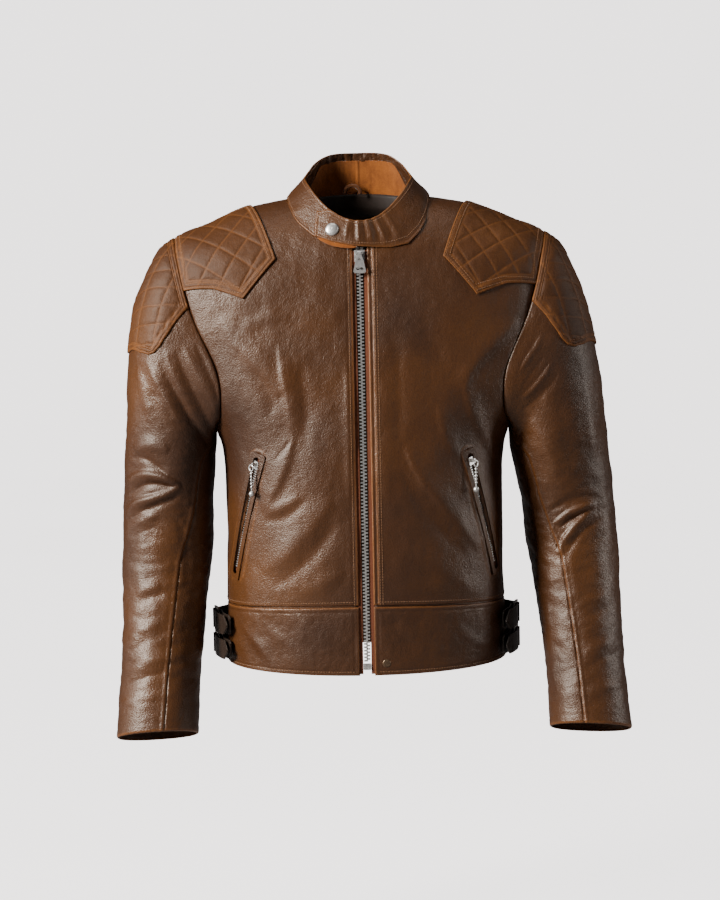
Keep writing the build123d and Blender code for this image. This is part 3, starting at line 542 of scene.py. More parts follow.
def metal(name, color, roughness, tarnish, metallic):
    """Plated metal with soft smudges."""
    material, nodes, links, shader = new_material(name)
    place = nodes.new("ShaderNodeTexCoord").outputs["Object"]
    smudge = texture_noise(nodes, links, place, 400, 4, 0.6)
    tones = ramp(nodes, [(0.3, tarnish), (0.62, color)])
    links.new(smudge, tones.inputs["Fac"])
    links.new(tones.outputs["Color"], shader.inputs["Base Color"])
    shader.inputs["Metallic"].default_value = metallic
    polish = nodes.new("ShaderNodeMapRange")
    links.new(smudge, polish.inputs["Value"])
    polish.inputs["To Min"].default_value = roughness * 0.7
    polish.inputs["To Max"].default_value = roughness * 1.4
    links.new(polish.outputs["Result"], shader.inputs["Roughness"])
    return material


def cloth(name, dark, light, scale, rough=0.8, sheen=0.3, strength=0.35):
    """Woven or napped cloth."""
    material, nodes, links, shader = new_material(name)
    place = nodes.new("ShaderNodeTexCoord").outputs["Object"]
    nap = texture_noise(nodes, links, place, scale, 5, 0.7)
    soft = texture_noise(nodes, links, place, scale / 14, 4, 0.6, distortion=0.8)
    both = math_node(nodes, links, "ADD", math_node(nodes, links, "MULTIPLY", nap, 0.45),
                     math_node(nodes, links, "MULTIPLY", soft, 0.55))
    tones = ramp(nodes, [(0.32, dark), (0.68, light)])
    links.new(both, tones.inputs["Fac"])
    links.new(tones.outputs["Color"], shader.inputs["Base Color"])
    relief = nodes.new("ShaderNodeBump")
    relief.inputs["Strength"].default_value = strength
    relief.inputs["Distance"].default_value = 0.0006
    links.new(nap, relief.inputs["Height"])
    links.new(relief.outputs["Normal"], shader.inputs["Normal"])
    shader.inputs["Roughness"].default_value = rough
    shader.inputs["Sheen Weight"].default_value = sheen
    shader.inputs["Specular IOR Level"].default_value = 0.2
    return material


BROWN = leather("brown_leather", (0.029, 0.0084, 0.0017), (0.053, 0.0172, 0.0037), (0.085, 0.0300, 0.0072))
QUILT = leather("quilted_leather", (0.036, 0.0105, 0.0018), (0.062, 0.0198, 0.0036), (0.092, 0.0320, 0.0070),
                rough=(0.52, 0.64), grain=0.8, shine=0.3)
DARK = leather("dark_leather", (0.010, 0.006, 0.004), (0.018, 0.011, 0.008), (0.03, 0.018, 0.012))
LOOP = cloth("dark_suede", (0.05, 0.016, 0.004), (0.12, 0.038, 0.008), 500, 0.9, 0.2, 0.4)
SUEDE = cloth("orange_suede", (0.13, 0.034, 0.004), (0.27, 0.080, 0.010), 700, 0.95, 0.2, 0.5)
LINING = cloth("lining_cloth", (0.014, 0.008, 0.005), (0.026, 0.015, 0.010), 1800, 0.55, 0.1, 0.2)
TAPE = cloth("russet_tape", (0.10, 0.028, 0.011), (0.17, 0.05, 0.02), 2400, 0.85, 0.2, 0.5)
SILVER = metal("silver_metal", (0.68, 0.66, 0.63), 0.32, (0.52, 0.50, 0.48), 0.82)
BRASS = metal("antique_brass", (0.20, 0.13, 0.075), 0.36, (0.07, 0.045, 0.03), 0.8)
THREAD = cloth("brown_thread", (0.13, 0.055, 0.02), (0.21, 0.095, 0.036), 3000, 0.7, 0.2, 0.3)


# ----------------------------------------- torso leather
CHEST_RIGHT = [
    (3.4, 15, 0.75, [(-170.1, -141), (-148.1, -177.6), (-119.8, -199.8), (-98.9, -236.5)]),
    (3.0, 9, 0.6, [(-99.9, -174.9), (-93.7, -217.3), (-88.4, -253.7), (-85.5, -285.3)]),
    (3.2, 9, 1.5, [(-84.3, -282.9), (-92.3, -316.7), (-107.6, -350.5), (-124, -377.1)]),
    (-1.3, 3.2, 1.0, [(-86.8, -287.7), (-96.9, -304.5), (-108, -316.4)]),
    (-1.6, 10, 1.0, [(-146.4, -206.6), (-120.2, -216.7), (-108.7, -243.6), (-114.2, -270.1)]),
    (3.6, 14, 1.35, [(-38.8, -361.7), (-68.7, -400.2), (-96.1, -431.5), (-125.7, -451.7)]),
    (-2.6, 9, 1.0, [(-32.1, -388.7), (-57.1, -422.4), (-84.4, -451.3), (-114, -470.4)]),
    (2.0, 8, 1.0, [(-77.5, -357.2), (-98.4, -372.7), (-124, -377.1)]),
    (-1.8, 6, 1.0, [(-70.3, -363.5), (-95, -383.7), (-121.8, -389.3)]),
    (1.5, 6, 1.0, [(-17.4, -201.9), (-16.3, -267.2), (-17.1, -364.5)]),
    (1.6, 9, 1.0, [(-24.9, -450.1), (-53.1, -465.5), (-80.1, -476)]),
    (1.2, 8, 1.0, [(-145.2, -155.9), (-118.4, -142), (-84.7, -140.3)]),
    (-1.4, 9, 1.0, [(-73.8, -193.5), (-67.9, -254.1), (-71.6, -308.6)]),
    (-1.0, 9, 1.0, [(-156.9, -240.2), (-150.9, -288.8), (-137.3, -325.6)]),
]
CHEST_LEFT = [
    (3.4, 11, 1.3, [(191.7, -153), (157.6, -180), (128.2, -214.4), (121.8, -236)]),
    (2.6, 8, 0.7, [(123.2, -226.4), (132.3, -260.5), (148.7, -294.8), (165.2, -326.7)]),
    (2.4, 9, 0.7, [(91.4, -250), (98.2, -281.6), (107.4, -308.5), (129, -321.1)]),
    (3.4, 9, 0.62, [(50.7, -300.1), (68.2, -339.4), (99, -376.6), (139.4, -431.3)]),
    (-1.8, 8, 1.0, [(46.6, -329.2), (62.9, -366.1), (91.3, -403.4), (127.1, -443.3)]),
    (2.2, 12, 0.8, [(57, -424.7), (85.7, -447.4), (117, -470.1), (143.5, -487.8)]),
    (-1.4, 9, 1.0, [(37.6, -159.5), (46.1, -220), (42.4, -292.7)]),
    (1.2, 12, 1.0, [(26.9, -219.6), (27.9, -292.4), (28.5, -389.9)]),
    (-1.6, 12, 1.0, [(76.1, -160.3), (89.9, -196.7), (109.1, -204.4)]),
    (1.0, 9, 1.0, [(36.6, -475.9), (78, -471.8), (114.4, -477.4)]),
]


def seam_sink(points):
    """The leather dips into the armhole seam."""
    return 1.5 * np.exp(-(armhole_side(points) / 1.7)**2) * smooth(points[..., 2], -296, -284)


def torso_skin(u, t, mirror, lift=0.0):
    """The draped outer face of the leather at (u, t): points, and unit normals of the plain form.
    mirror is 1 on the wearer's left and -1 on the right; points keep x > 0 until mirrored."""
    points = torso(u, t)
    normals = surface_normal(torso, u, t, NECK)
    x, z = points[..., 0] * mirror, points[..., 2]
    facing = smooth(-normals[..., 1], 0.05, 0.5)
    lines = CHEST_LEFT if mirror > 0 else CHEST_RIGHT
    calm = 1 - 0.75 * smooth(z, -60, 20)
    seed = points * (mirror, 1, 1)
    height = 0.85 * folds(x, z, lines) * facing * calm
    height += 1.5 * noise_field(seed, 85, 2, 3.7) * calm
    height += 0.5 * noise_field(seed * (1, 1, 0.7), 24, 2, 1.3) * calm
    height += 0.16 * noise_field(seed, 6.5, 2, 9.1)
    height -= seam_sink(points)
    return points + normals * (height + lift)[..., None], normals


def placket_angle(t):
    return solve(lambda u: torso(u, t)[..., 0] - PLACKET_EDGE, np.zeros(t.shape), np.full(t.shape, 20.0))


def front_at(x, z):
    """(u, t) of the front point that projects to (x, z), x > 0."""
    x, z = np.broadcast_arrays(np.asarray(x, float), np.asarray(z, float))

    def angle(t):
        half, power = interpolate(TORSO, t)[0], interpolate(TORSO, t)[5]
        s = np.clip(x / half, 0, 1)
        return np.degrees(np.arctan2(s, (1 - s**power)**(1 / power)))

    t = solve(lambda t: torso(angle(t), t)[..., 2] - z, np.zeros(x.shape), np.full(x.shape, NECK))
    return angle(t), t


def over_shoulder(x, w):
    """(u, t) of the point at x whose y + z is w, going from the chest over the shoulder to the back."""
    x, w = np.broadcast_arrays(np.asarray(x, float), np.asarray(w, float))
    ridge = solve(lambda t: x - interpolate(TORSO, t)[0], np.full(x.shape, 7.0), np.full(x.shape, NECK))

    def place(q):
        t = ridge * np.where(q < 1, q, 2 - q)
        half, power = interpolate(TORSO, t)[0], interpolate(TORSO, t)[5]
        s = np.clip(x / half, 0, 1)
        u = np.degrees(np.arctan2(s, (1 - s**power)**(1 / power)))
        return np.where(q < 1, u, 180 - u), t

    def ahead(q):
        p = torso(*place(q))
        return p[..., 1] + p[..., 2] - w

    return place(solve(ahead, np.full(x.shape, 0.5), np.full(x.shape, 1.5)))


# pocket slots, on the front in (x, z): the slot runs from POCKET_TOP to POCKET_FOOT
POCKET_TOP = np.array([128.0, -312.0])
POCKET_FOOT = np.array([160.0, -458.0])
POCKET_HALF = 4.0
pocket_length = float(np.linalg.norm(POCKET_FOOT - POCKET_TOP))
POCKET_DOWN = (POCKET_FOOT - POCKET_TOP) / pocket_length
POCKET_SIDE = np.array([-POCKET_DOWN[1], POCKET_DOWN[0]])


def pocket_place(points):
    """(along, off): mm down the pocket slot and away from it towards the side seam."""
    rel = points[..., [0, 2]] - POCKET_TOP
    return rel @ POCKET_DOWN, rel @ POCKET_SIDE


def front_grid(mirror):
    t_rows = WAIST + 0.01 + (NECK - WAIST - 0.01) * spaced(470, 1.9)
    low = placket_angle(t_rows)
    high = armhole_angle(t_rows, True)
    fractions = spaced(225, 1.7)
    u = low[:, None] + (high - low)[:, None] * fractions
    t = np.broadcast_to(t_rows[:, None], u.shape)
    points, normals = torso_skin(u, t, mirror)
    distance = edge_distance(points, "lbt")
    height = -rolled(distance, 1.3, 1.1)
    inset = points[..., 0] - PLACKET_EDGE
    wear = 0.85 * worn(distance) * (edge_distance(points, "l") < 4) + 0.5 * worn(distance)
    if mirror > 0:
        height -= 0.6 * (1 - smooth(inset, 3.4, 7.4)) + 0.6 * bump(inset, 5.0, 1.0)
        wear = np.maximum(wear, 0.8 * bump(inset, 6.2, 0.8))
    else:
        height -= 0.45 * bump(inset, 6.2, 1.2)
    along, off = pocket_place(torso(u, t))
    outside = np.hypot(np.abs(off), np.maximum(np.abs(along - pocket_length / 2) - pocket_length / 2, 0))
    height -= 3.2 * (1 - smooth(outside, POCKET_HALF - 1.6, POCKET_HALF + 1.2))
    height += 0.7 * bump(outside, POCKET_HALF + 3.0, 2.6) - 0.5 * bump(outside, POCKET_HALF + 6.5, 0.8)
    wear = np.maximum(wear, 0.8 * bump(outside, POCKET_HALF + 0.4, 0.9))
    wear = np.maximum(wear, 0.5 * bump(outside, POCKET_HALF + 5.8, 0.7))
    points = points + normals * height[..., None]
    return points, wear, outside < POCKET_HALF - 1.9, u, t


for side, mirror in (("left", 1), ("right", -1)):
    points, wear, hole, u, t = front_grid(mirror)
    for inset in (8.4, 11.6) if mirror > 0 else (5.0,):
        rows = np.arange(0, len(points), 2)
        z_rows = points[rows, 0, 2]
        uu, tt = front_at(np.full(len(rows), PLACKET_EDGE + inset), z_rows)
        path, up = torso_skin(uu, tt, mirror, 0.1)
        path[:, 0] *= mirror
        up[:, 0] *= mirror
        stitches("root", path, up)
    if mirror < 0:
        points, wear, hole = mirror_grid(points, wear, hole)
    panel = slab(f"front_leather_{side}", points, 1.5, BROWN, "root", wear, hole=hole)
    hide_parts(f"front_panel_{side}")

t_rows = WAIST + 0.01 + (NECK - WAIST - 0.01) * spaced(450, 3.0)
u_side = armhole_angle(t_rows, False)
half_back = []
for mirror in (1, -1):
    fractions = spaced(300, 3.0)
    fractions = fractions[:len(fractions) // 2 + 1] / fractions[len(fractions) // 2]
    u = u_side[:, None] + (180 - u_side)[:, None] * fractions
    t = np.broadcast_to(t_rows[:, None], u.shape)
    points, normals = torso_skin(u, t, mirror)
    if mirror < 0:
        points = mirror_grid(points)[0][:, 1:]
    half_back.append(points)
points = np.concatenate([half_back[0][:, :-1], (half_back[0][:, -1:] * (0, 1, 1)), half_back[1]], 1)
distance = edge_distance(points)
points = points - grid_normals(points) * rolled(distance)[..., None]
panel = slab("back_leather", points, 1.5, BROWN, "root", 0.5 * worn(distance))
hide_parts("back_panel")


# ----------------------------------------- waistband
BAND_FOLDS = [
    (0.9, 7, 1.0, [(-127.2, -512), (-105.8, -534.6), (-86.6, -549.8)]),
    (0.8, 5, 1.0, [(-154.2, -521.3), (-135.2, -541.5), (-118.6, -564)]),
    (0.9, 8, 1.0, [(-80.8, -508), (-44.9, -535.9), (-20.8, -551.2)]),
    (0.8, 8, 1.0, [(34.7, -512.8), (64.7, -538), (101, -557.3)]),
    (0.8, 6, 1.0, [(107.7, -516.7), (125.7, -539.3), (149.8, -552.1)]),
]


def band(name, low, high, mirror, node, sides):
    t_rows = (WAIST - 0.014) * spaced(84, 1.6)
    fractions = spaced(230, 1.8)
    u = np.broadcast_to(low + (high - low) * fractions, (len(t_rows), len(fractions)))
    t = np.broadcast_to(t_rows[:, None], u.shape)
    points = torso(u, t)
    normals = surface_normal(torso, u, t, NECK)
    seed = points * (mirror, 1, 1)
    distance = edge_distance(points, sides)
    height = 1.1 * noise_field(seed, 42, 2, 2.2) + 0.45 * noise_field(seed * (1, 1, 0.6), 13, 2, 4.4)
    height += 0.2 * noise_field(seed, 5, 2, 8.0)
    height += folds(points[..., 0] * mirror, points[..., 2], BAND_FOLDS) * smooth(-normals[..., 1], 0.1, 0.5)
    height *= smooth(distance, 0, 9)
    height -= rolled(distance, 1.7, 1.5) + 0.5 * bump(distance, 5.6, 0.9)
    points = points + normals * height[..., None]
    row = int(np.argmin(np.abs(edge_distance(points, "b")[:, 30] - 5.6)))
    columns = np.arange(6, len(fractions) - 6, 1)
    path, up = points[row, columns] * (mirror, 1, 1), normals[row, columns] * (mirror, 1, 1)
    stitches("root", path, up)
    wear = 0.75 * worn(distance, 1.5)
    if mirror < 0:
        points, wear = mirror_grid(points, wear)
    piece = slab(name, points, 3.0, BROWN, "root", wear)
    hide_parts(node)


edge_angle = float(placket_angle(np.array([0.5]))[0])
band("band_leather_front_left", edge_angle, 89.7, 1, "waistband_front_left", "lbtr")
band("band_leather_front_right", edge_angle, 89.7, -1, "waistband_front_right", "lbtr")
band("band_leather_back", 90.3, 269.7, 1, "waistband_back", "lbtr")

# seam allowance that closes the waist seam on the inside
for side, mirror in (("left", 1), ("right", -1)):
    u, t = np.meshgrid(np.linspace(edge_angle + 0.6, 180, 180), WAIST + np.linspace(-0.07, 0.09, 7))
    points = torso(u, t) - 1.9 * surface_normal(torso, u, t, NECK)
    if mirror < 0:
        points = mirror_grid(points)[0]
    allowance = slab(f"waist_seam_allowance_{side}", points, 0.8, BROWN, "root")

# topstitching above the waist seam
for mirror in (1, -1):
    x = np.linspace(PLACKET_EDGE + 4, 170, 200)
    uu = np.linspace(edge_angle + 2, 88, 200)
    tt = solve(lambda t: torso(uu, t)[..., 2] - torso(uu, np.full(200, WAIST))[..., 2] - 5.0,
               np.full(200, WAIST), np.full(200, WAIST + 1.0))
    path, up = torso_skin(uu, tt, mirror, 0.1)
    stitches("root", path * (mirror, 1, 1), up * (mirror, 1, 1))


# ----------------------------------------- quilted patches
def cross_grid(bottom, top, left, right, columns, rows):
    """Grid between four border paths: bottom and top run along columns, left and right up rows."""
    def at(path, places):
        steps = np.linalg.norm(np.diff(path, axis=0), axis=1)
        run = np.concatenate([[0], np.cumsum(steps)])
        run /= run[-1]
        return np.stack([np.interp(places, run, path[:, i]) for i in range(path.shape[1])], -1)

    low, high = at(bottom, columns)[None], at(top, columns)[None]
    near, far = at(left, rows)[:, None], at(right, rows)[:, None]
    c, r = columns[None, :, None], rows[:, None, None]
    low_line = low[:, :1] * (1 - c) + low[:, -1:] * c
    high_line = high[:, :1] * (1 - c) + high[:, -1:] * c
    corners = low_line * (1 - r) + high_line * r
    return low * (1 - r) + high * r + near * (1 - c) + far * c - corners


def border_distance(places, border):
    best = np.full(places.shape[:-1], 1e9)
    for (ax, ay), (bx, by) in zip(border, np.roll(border, -1, 0)):
        length = max(math.hypot(bx - ax, by - ay), 1e-6)
        dx, dy = (bx - ax) / length, (by - ay) / length
        along = np.clip((places[..., 0] - ax) * dx + (places[..., 1] - ay) * dy, 0, length)
        best = np.minimum(best, np.hypot(places[..., 0] - ax - dx * along, places[..., 1] - ay - dy * along))
    return best


def quilted(places, distance, slopes, spacings, shifts, border=8.6):
    """Height and wear of quilting inside a flat stitched border."""
    line = np.full(distance.shape, 1e9)
    for slope, spacing, shift in zip(slopes, spacings, shifts):
        c, s = math.cos(slope), math.sin(slope)
        across = places[..., 1] * c - places[..., 0] * s + shift
        line = np.minimum(line, np.abs((across / spacing + 0.5) % 1 - 0.5) * spacing)
    line = np.minimum(line, np.abs(distance - border))
    pillow = 1.15 * (1 - np.exp(-line / 2.2))
    height = np.where(distance > border, pillow, 0.9 * smooth(border - distance, 0, 1.2))
    height -= 0.9 * bump(distance, 2.4, 0.6) + 0.9 * bump(distance, 6.4, 0.6)
    wear = 0.45 * np.exp(-(line / 0.9)**2) + 0.5 * bump(distance, 2.4, 0.9) + 0.5 * bump(distance, 6.4, 0.9)
    return height, np.clip(wear + 0.9 * worn(distance, 1.0), 0, 1)


def shoulder_patch(mirror):
    corner = torso(*front_at(np.array([101.0, 141.0]), np.array([-73.0, -120.0])))
    arm_phi = np.linspace(78, -12, 40)
    arm = armhole_ring(arm_phi)
    arm = np.stack([arm[:, 0] - 0.6, arm[:, 1] + arm[:, 2]], -1)
    start = int(np.argmin(np.abs(armhole_ring(arm_phi)[:, 2] + 111)))
    arm = arm[start:]
    notch, foot = [np.array([p[0], p[1] + p[2]]) for p in corner]
    top_inner = np.array([134.0, 0.0])
    top_inner[1] = float(np.max([torso(q, t)[1] + torso(q, t)[2] for q, t in [(94.0, 10.11)]]))
    bend = (foot + arm[0]) / 2 + np.array([0.0, 5.0])
    bottom = np.array([foot, bend, arm[0]])
    left = np.array([foot, notch, top_inner])
    top = np.linspace(top_inner, arm[-1], 30)
    columns, rows = spaced(75, 0.95), spaced(125, 0.95)
    places = cross_grid(bottom, top, left, arm, columns, rows)
    flat = places * (1, 0.7071)
    border = np.concatenate([bottom, arm, top[::-1], left[::-1]]) * (1, 0.7071)
    distance = border_distance(flat, border)
    u, t = over_shoulder(places[..., 0], places[..., 1])
    rise, wear = quilted(flat, distance, (math.radians(36.5), math.radians(-56.3)), (27.0, 25.0), (6.0, 4.0))
    points, normals = torso_skin(u, t, mirror, 2.0)
    rise = rise - rolled(distance, 1.5, 1.3)
    return points + normals * rise[..., None], wear, distance, normals


def patch_stitches(group, points, normals, distance, inset, flip):
    """A row of stitches that follows the border at a distance, walked round the grid."""
    rows, columns = distance.shape
    j0 = int(np.argmax(distance[:, columns // 2] > inset))
    i0 = int(np.argmax(distance[rows // 2, :] > inset))
    j1, i1 = rows - 1 - j0, columns - 1 - i0
    path = [(j0, i) for i in range(i0, i1)] + [(j, i1) for j in range(j0, j1)]
    path += [(j1, i) for i in range(i1, i0, -1)] + [(j, i0) for j in range(j1, j0, -1)]
    js, is_ = np.array(path).T
    stitches(group, points[js, is_] * (flip, 1, 1), normals[js, is_] * (flip, 1, 1))


for side, mirror in (("left", 1), ("right", -1)):
    points, wear, distance, normals = shoulder_patch(mirror)
    for inset in (2.4, 6.4):
        patch_stitches("root", points, normals, distance, inset, mirror)
    if mirror < 0:
        points, wear = mirror_grid(points, wear)
    patch = slab(f"shoulder_quilting_{side}", points, 1.2, QUILT, "root", wear)
    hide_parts(f"shoulder_patch_{side}")


# ----------------------------------------- sleeves
SLEEVE_RIGHT = [
    (3.6, 6.0, 0.75, [(-262.2, -194.7), (-248.4, -221.8), (-234.4, -246.6), (-222.8, -268.8)]),
    (-2.4, 5.5, 1.0, [(-245.2, -195), (-231.4, -224.6), (-217.5, -251.8), (-208.4, -276.5)]),
    (3.6, 6.0, 0.75, [(-238.7, -180.5), (-225.2, -219.8), (-207.8, -254.4), (-188, -291.6)]),
    (-3.4, 6.0, 1.0, [(-225.3, -180.7), (-209.4, -222.6), (-193.2, -257.2), (-183, -286.8)]),
    (3.2, 6.0, 0.8, [(-215.4, -176.1), (-199.3, -210.6), (-185.3, -235.3), (-177.4, -259.9)]),
    (-3.6, 5.5, 1.0, [(-200.8, -173.9), (-186.9, -203.5), (-176.6, -228.1), (-173.4, -245.3)]),
    (2.4, 5.5, 0.8, [(-274.6, -201.7), (-269.2, -226.3), (-262.7, -253.3), (-259.5, -270.6)]),
    (-1.3, 4.5, 1.0, [(-267.4, -204.3), (-256.1, -236.3), (-244.7, -266)]),
    (3.6, 9.0, 1.0, [(-280, -304.5), (-265.2, -297.5), (-248.1, -299), (-238.5, -305.4)]),
    (-2.6, 5.0, 1.0, [(-287.7, -316.7), (-270.5, -312.1), (-253.6, -322.3), (-241.8, -334.8)]),
    (4.4, 5.0, 1.6,
     [(-293.7, -353.5), (-284.7, -337.7), (-266.1, -331.9), (-244.2, -336), (-224.9, -346.3)]),
    (-3.4, 4.6, 1.0, [(-289.1, -363.5), (-273.9, -347.8), (-254.3, -344.5), (-234.8, -349.8)]),
    (4.4, 4.8, 1.6, [(-297.3, -393), (-285.7, -372.2), (-264.6, -364), (-242.4, -357), (-225, -347.5)]),
    (-2.6, 5.0, 1.0, [(-287.4, -390.7), (-269.9, -377.5), (-247.6, -369.3), (-227.8, -362.2)]),
    (1.6, 4.5, 1.2, [(-287.8, -403.1), (-272.7, -391), (-252.9, -384)]),
    (-1.0, 3.0, 1.0, [(-285.6, -413), (-270.6, -403.4), (-255.8, -398.8)]),
    (1.4, 9.0, 1.0, [(-273, -400.9), (-279, -437.9), (-277.6, -475.2)]),
    (1.6, 7.0, 1.0, [(-282.7, -482.6), (-270.2, -472.9), (-252.9, -470.7)]),
    (-1.2, 5.0, 1.0, [(-285.6, -495), (-268.1, -485.4), (-248.3, -483.3)]),
    (1.4, 6.0, 1.0, [(-294.2, -537.2), (-276.5, -522.6), (-254.1, -515.5)]),
    (-1.2, 5.0, 1.0, [(-292.1, -552.2), (-272, -537.6), (-247.1, -528.2)]),
    (1.5, 6.0, 1.0, [(-302.9, -582), (-280.3, -567.5), (-250.4, -558.1), (-225.7, -556.1)]),
    (-1.2, 4.0, 1.0, [(-300.9, -597.1), (-278.2, -582.5), (-243.4, -573.2)]),
    (1.2, 5.0, 1.0, [(-306.4, -617.1), (-278.9, -605.1), (-246.6, -600.7)]),
    (1.6, 6.0, 1.0, [(-220.5, -364.9), (-206.6, -392.3), (-205.3, -439.4)]),
    (-1.4, 6.0, 1.0, [(-231, -389.4), (-219.7, -424.2), (-221.1, -476.4)]),
]
SLEEVE_LEFT = [
    (2.6, 3.6, 1.4, [(191.8, -215.8), (200.6, -201.4), (213, -184.5), (220.4, -170.1)]),
    (-1.4, 3.6, 1.0, [(195.3, -230.6), (207.7, -216.2), (222.5, -196.9)]),
    (3.2, 3.6, 1.4, [(193.9, -247.7), (207.4, -236.9), (221, -221.3), (232.2, -204.4)]),
    (-1.8, 4.6, 1.0, [(192.4, -264.8), (209.7, -252.9), (226.9, -236.1), (239.4, -216.8)]),
    (2.6, 10.0, 0.8, [(204.7, -256.5), (214.1, -287.3), (228.4, -314.6), (235.4, -346.8)]),
    (-1.6, 9.0, 1.0, [(236.5, -251), (248.3, -288), (255.1, -337.3)]),
    (2.4, 9.0, 1.0, [(271.2, -202.8), (277.9, -264), (282.1, -325.5)]),
    (-2.4, 6.0, 1.0, [(230, -388.6), (249.8, -376.7), (271.9, -370.9), (289, -375)]),
    (3.6, 4.0, 1.5, [(233.5, -406), (249.6, -391.5), (266.8, -384.4), (285.3, -381.1)]),
    (-2.2, 3.6, 1.0, [(240.8, -411.1), (253.2, -400.2), (268, -393.1), (281.5, -388.4)]),
    (3.6, 4.2, 1.5, [(239.2, -443.3), (244.3, -427.3), (254.3, -412.6), (269.2, -396.8), (284, -384.8)]),
    (-2.2, 5.0, 1.0, [(249, -443.5), (259.1, -423.9), (273.9, -409.3), (291.2, -399.7)]),
    (1.8, 10.0, 1.0, [(251.6, -429.9), (253.6, -473.4), (260.6, -510.9)]),
    (1.4, 8.0, 1.0, [(294.1, -350.4), (301, -399.9), (303, -449.5)]),
    (1.6, 6.0, 1.0, [(255.6, -510.8), (275.5, -498.7), (302.6, -491.8)]),
    (-1.2, 5.0, 1.0, [(257.9, -525.8), (280.2, -513.7), (307.4, -506.8)]),
    (1.5, 6.0, 1.0, [(264.9, -563.4), (287.2, -553.8), (309.5, -549.3)]),
    (-1.2, 5.0, 1.0, [(267.2, -578.4), (289.5, -568.9), (311.8, -564.3)]),
    (1.6, 6.0, 1.0, [(259.5, -613.4), (284.3, -603.8), (311.4, -601.9)]),
    (-1.2, 4.0, 1.0, [(261.8, -628.5), (286.6, -618.9), (313.8, -617)]),
    (1.4, 5.0, 1.0, [(223.8, -497.7), (228, -560.1), (232.3, -610.3)]),
]
SEAM_PHI = np.array([(0.0, 176.0), (2.0, 160.0), (4.6, 136.0), (6.4, 131.0), (7.4, 124.0), (9.0, 112.0),
                     (12.0, 103.0)])


def sleeve_seam(t):
    """Angle of the seam that runs down the front of the sleeve from the armpit."""
    return np.interp(t, SEAM_PHI[:, 0], SEAM_PHI[:, 1])


def sleeve_skin(phi, t, side, lift=0.0):
    phi, t = np.broadcast_arrays(np.asarray(phi, float), np.asarray(t, float))
    points = sleeve(phi, t)
    normals = surface_normal(sleeve, phi, t, CUFF)
    placed = splayed(points, t, side)
    turned = normals * (side, 1, 1)
    facing = smooth(-turned[..., 1], 0.0, 0.42)
    calm = smooth(t, 0.0, 0.9) * (1 - smooth(t, CUFF - 0.75, CUFF - 0.1))
    lines = SLEEVE_LEFT if side > 0 else SLEEVE_RIGHT
    height = folds(placed[..., 0], placed[..., 2], lines) * facing * calm * (0.5 + 0.4 * smooth(t, 4.0, 6.5))
    back = smooth(turned[..., 1], 0.0, 0.5) * calm
    ripple = np.sin(placed[..., 2] / 13 + 2 * noise_field(placed, 60, 2, 6.0))
    height += back * 2.2 * ripple * bump(placed[..., 2], -430, 90)
    height += 1.5 * noise_field(placed, 60, 2, 4.0 + side) * calm
    creases = noise_field(placed * (0.75, 0.75, 1.5), 22, 2, 7.3)
    height += 0.9 * creases * calm * (0.5 + 0.5 * smooth(t, 5, 8))
    height += 0.16 * noise_field(placed, 6.0, 2, 2.9)
    height -= 1.5 * np.exp(-(t / 0.07)**2)
    height -= 1.4 * bump(phi, sleeve_seam(t), 1.0) * smooth(t, 0.1, 0.6)
    height += 0.9 * bump(phi, sleeve_seam(t) - 3.0, 2.2) * smooth(t, 0.1, 0.6)
    return placed + turned * (height + lift)[..., None], turned


def attach_sleeve(piece):
    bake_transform(piece)


PATCH_EDGE = np.array([(74, 0), (74, 0.9), (72, 1.8), (68.5, 2.6), (64, 3.1), (58, 3.45), (46, 3.8),
                       (30, 4.1), (15, 4.35), (0, 4.45), (-30, 4.1), (-76, 3.0)], float)


def sleeve_patch(side):
    columns, rows = spaced(115, 0.95), spaced(145, 0.95)
    top = np.array([(74.0, 0.0), (0.0, 0.0), (-76.0, 0.0)])
    left = PATCH_EDGE[:5]
    bottom = PATCH_EDGE[4:]
    right = np.array([(-76.0, 0.0), (-76.0, 3.0)])
    scale = np.array([1.15, 32.0])
    places = cross_grid(bottom * scale, top * scale, left[::-1] * scale, right[::-1] * scale,
                        columns, rows) / scale
    points, normals = sleeve_skin(places[..., 0], places[..., 1], side, 2.0)
    points = points + normals * (1.0 * np.exp(-(places[..., 1] / 0.07)**2))[..., None]
    across = np.concatenate([np.zeros((points.shape[0], 1)),
                             np.cumsum(np.linalg.norm(np.diff(points, axis=1), axis=-1), 1)], 1)
    along = np.concatenate([np.zeros((1, points.shape[1])),
                            np.cumsum(np.linalg.norm(np.diff(points, axis=0), axis=-1), 0)], 0)
    flat = np.stack([across, along], -1)
    distance = edge_distance(points)
    rise, wear = quilted(flat, distance, (math.radians(68), math.radians(-22)), (26.0, 26.0), (3.0, 9.0))
    rise = rise - rolled(distance, 1.5, 1.3)
    return points + normals * rise[..., None], wear, distance, normals


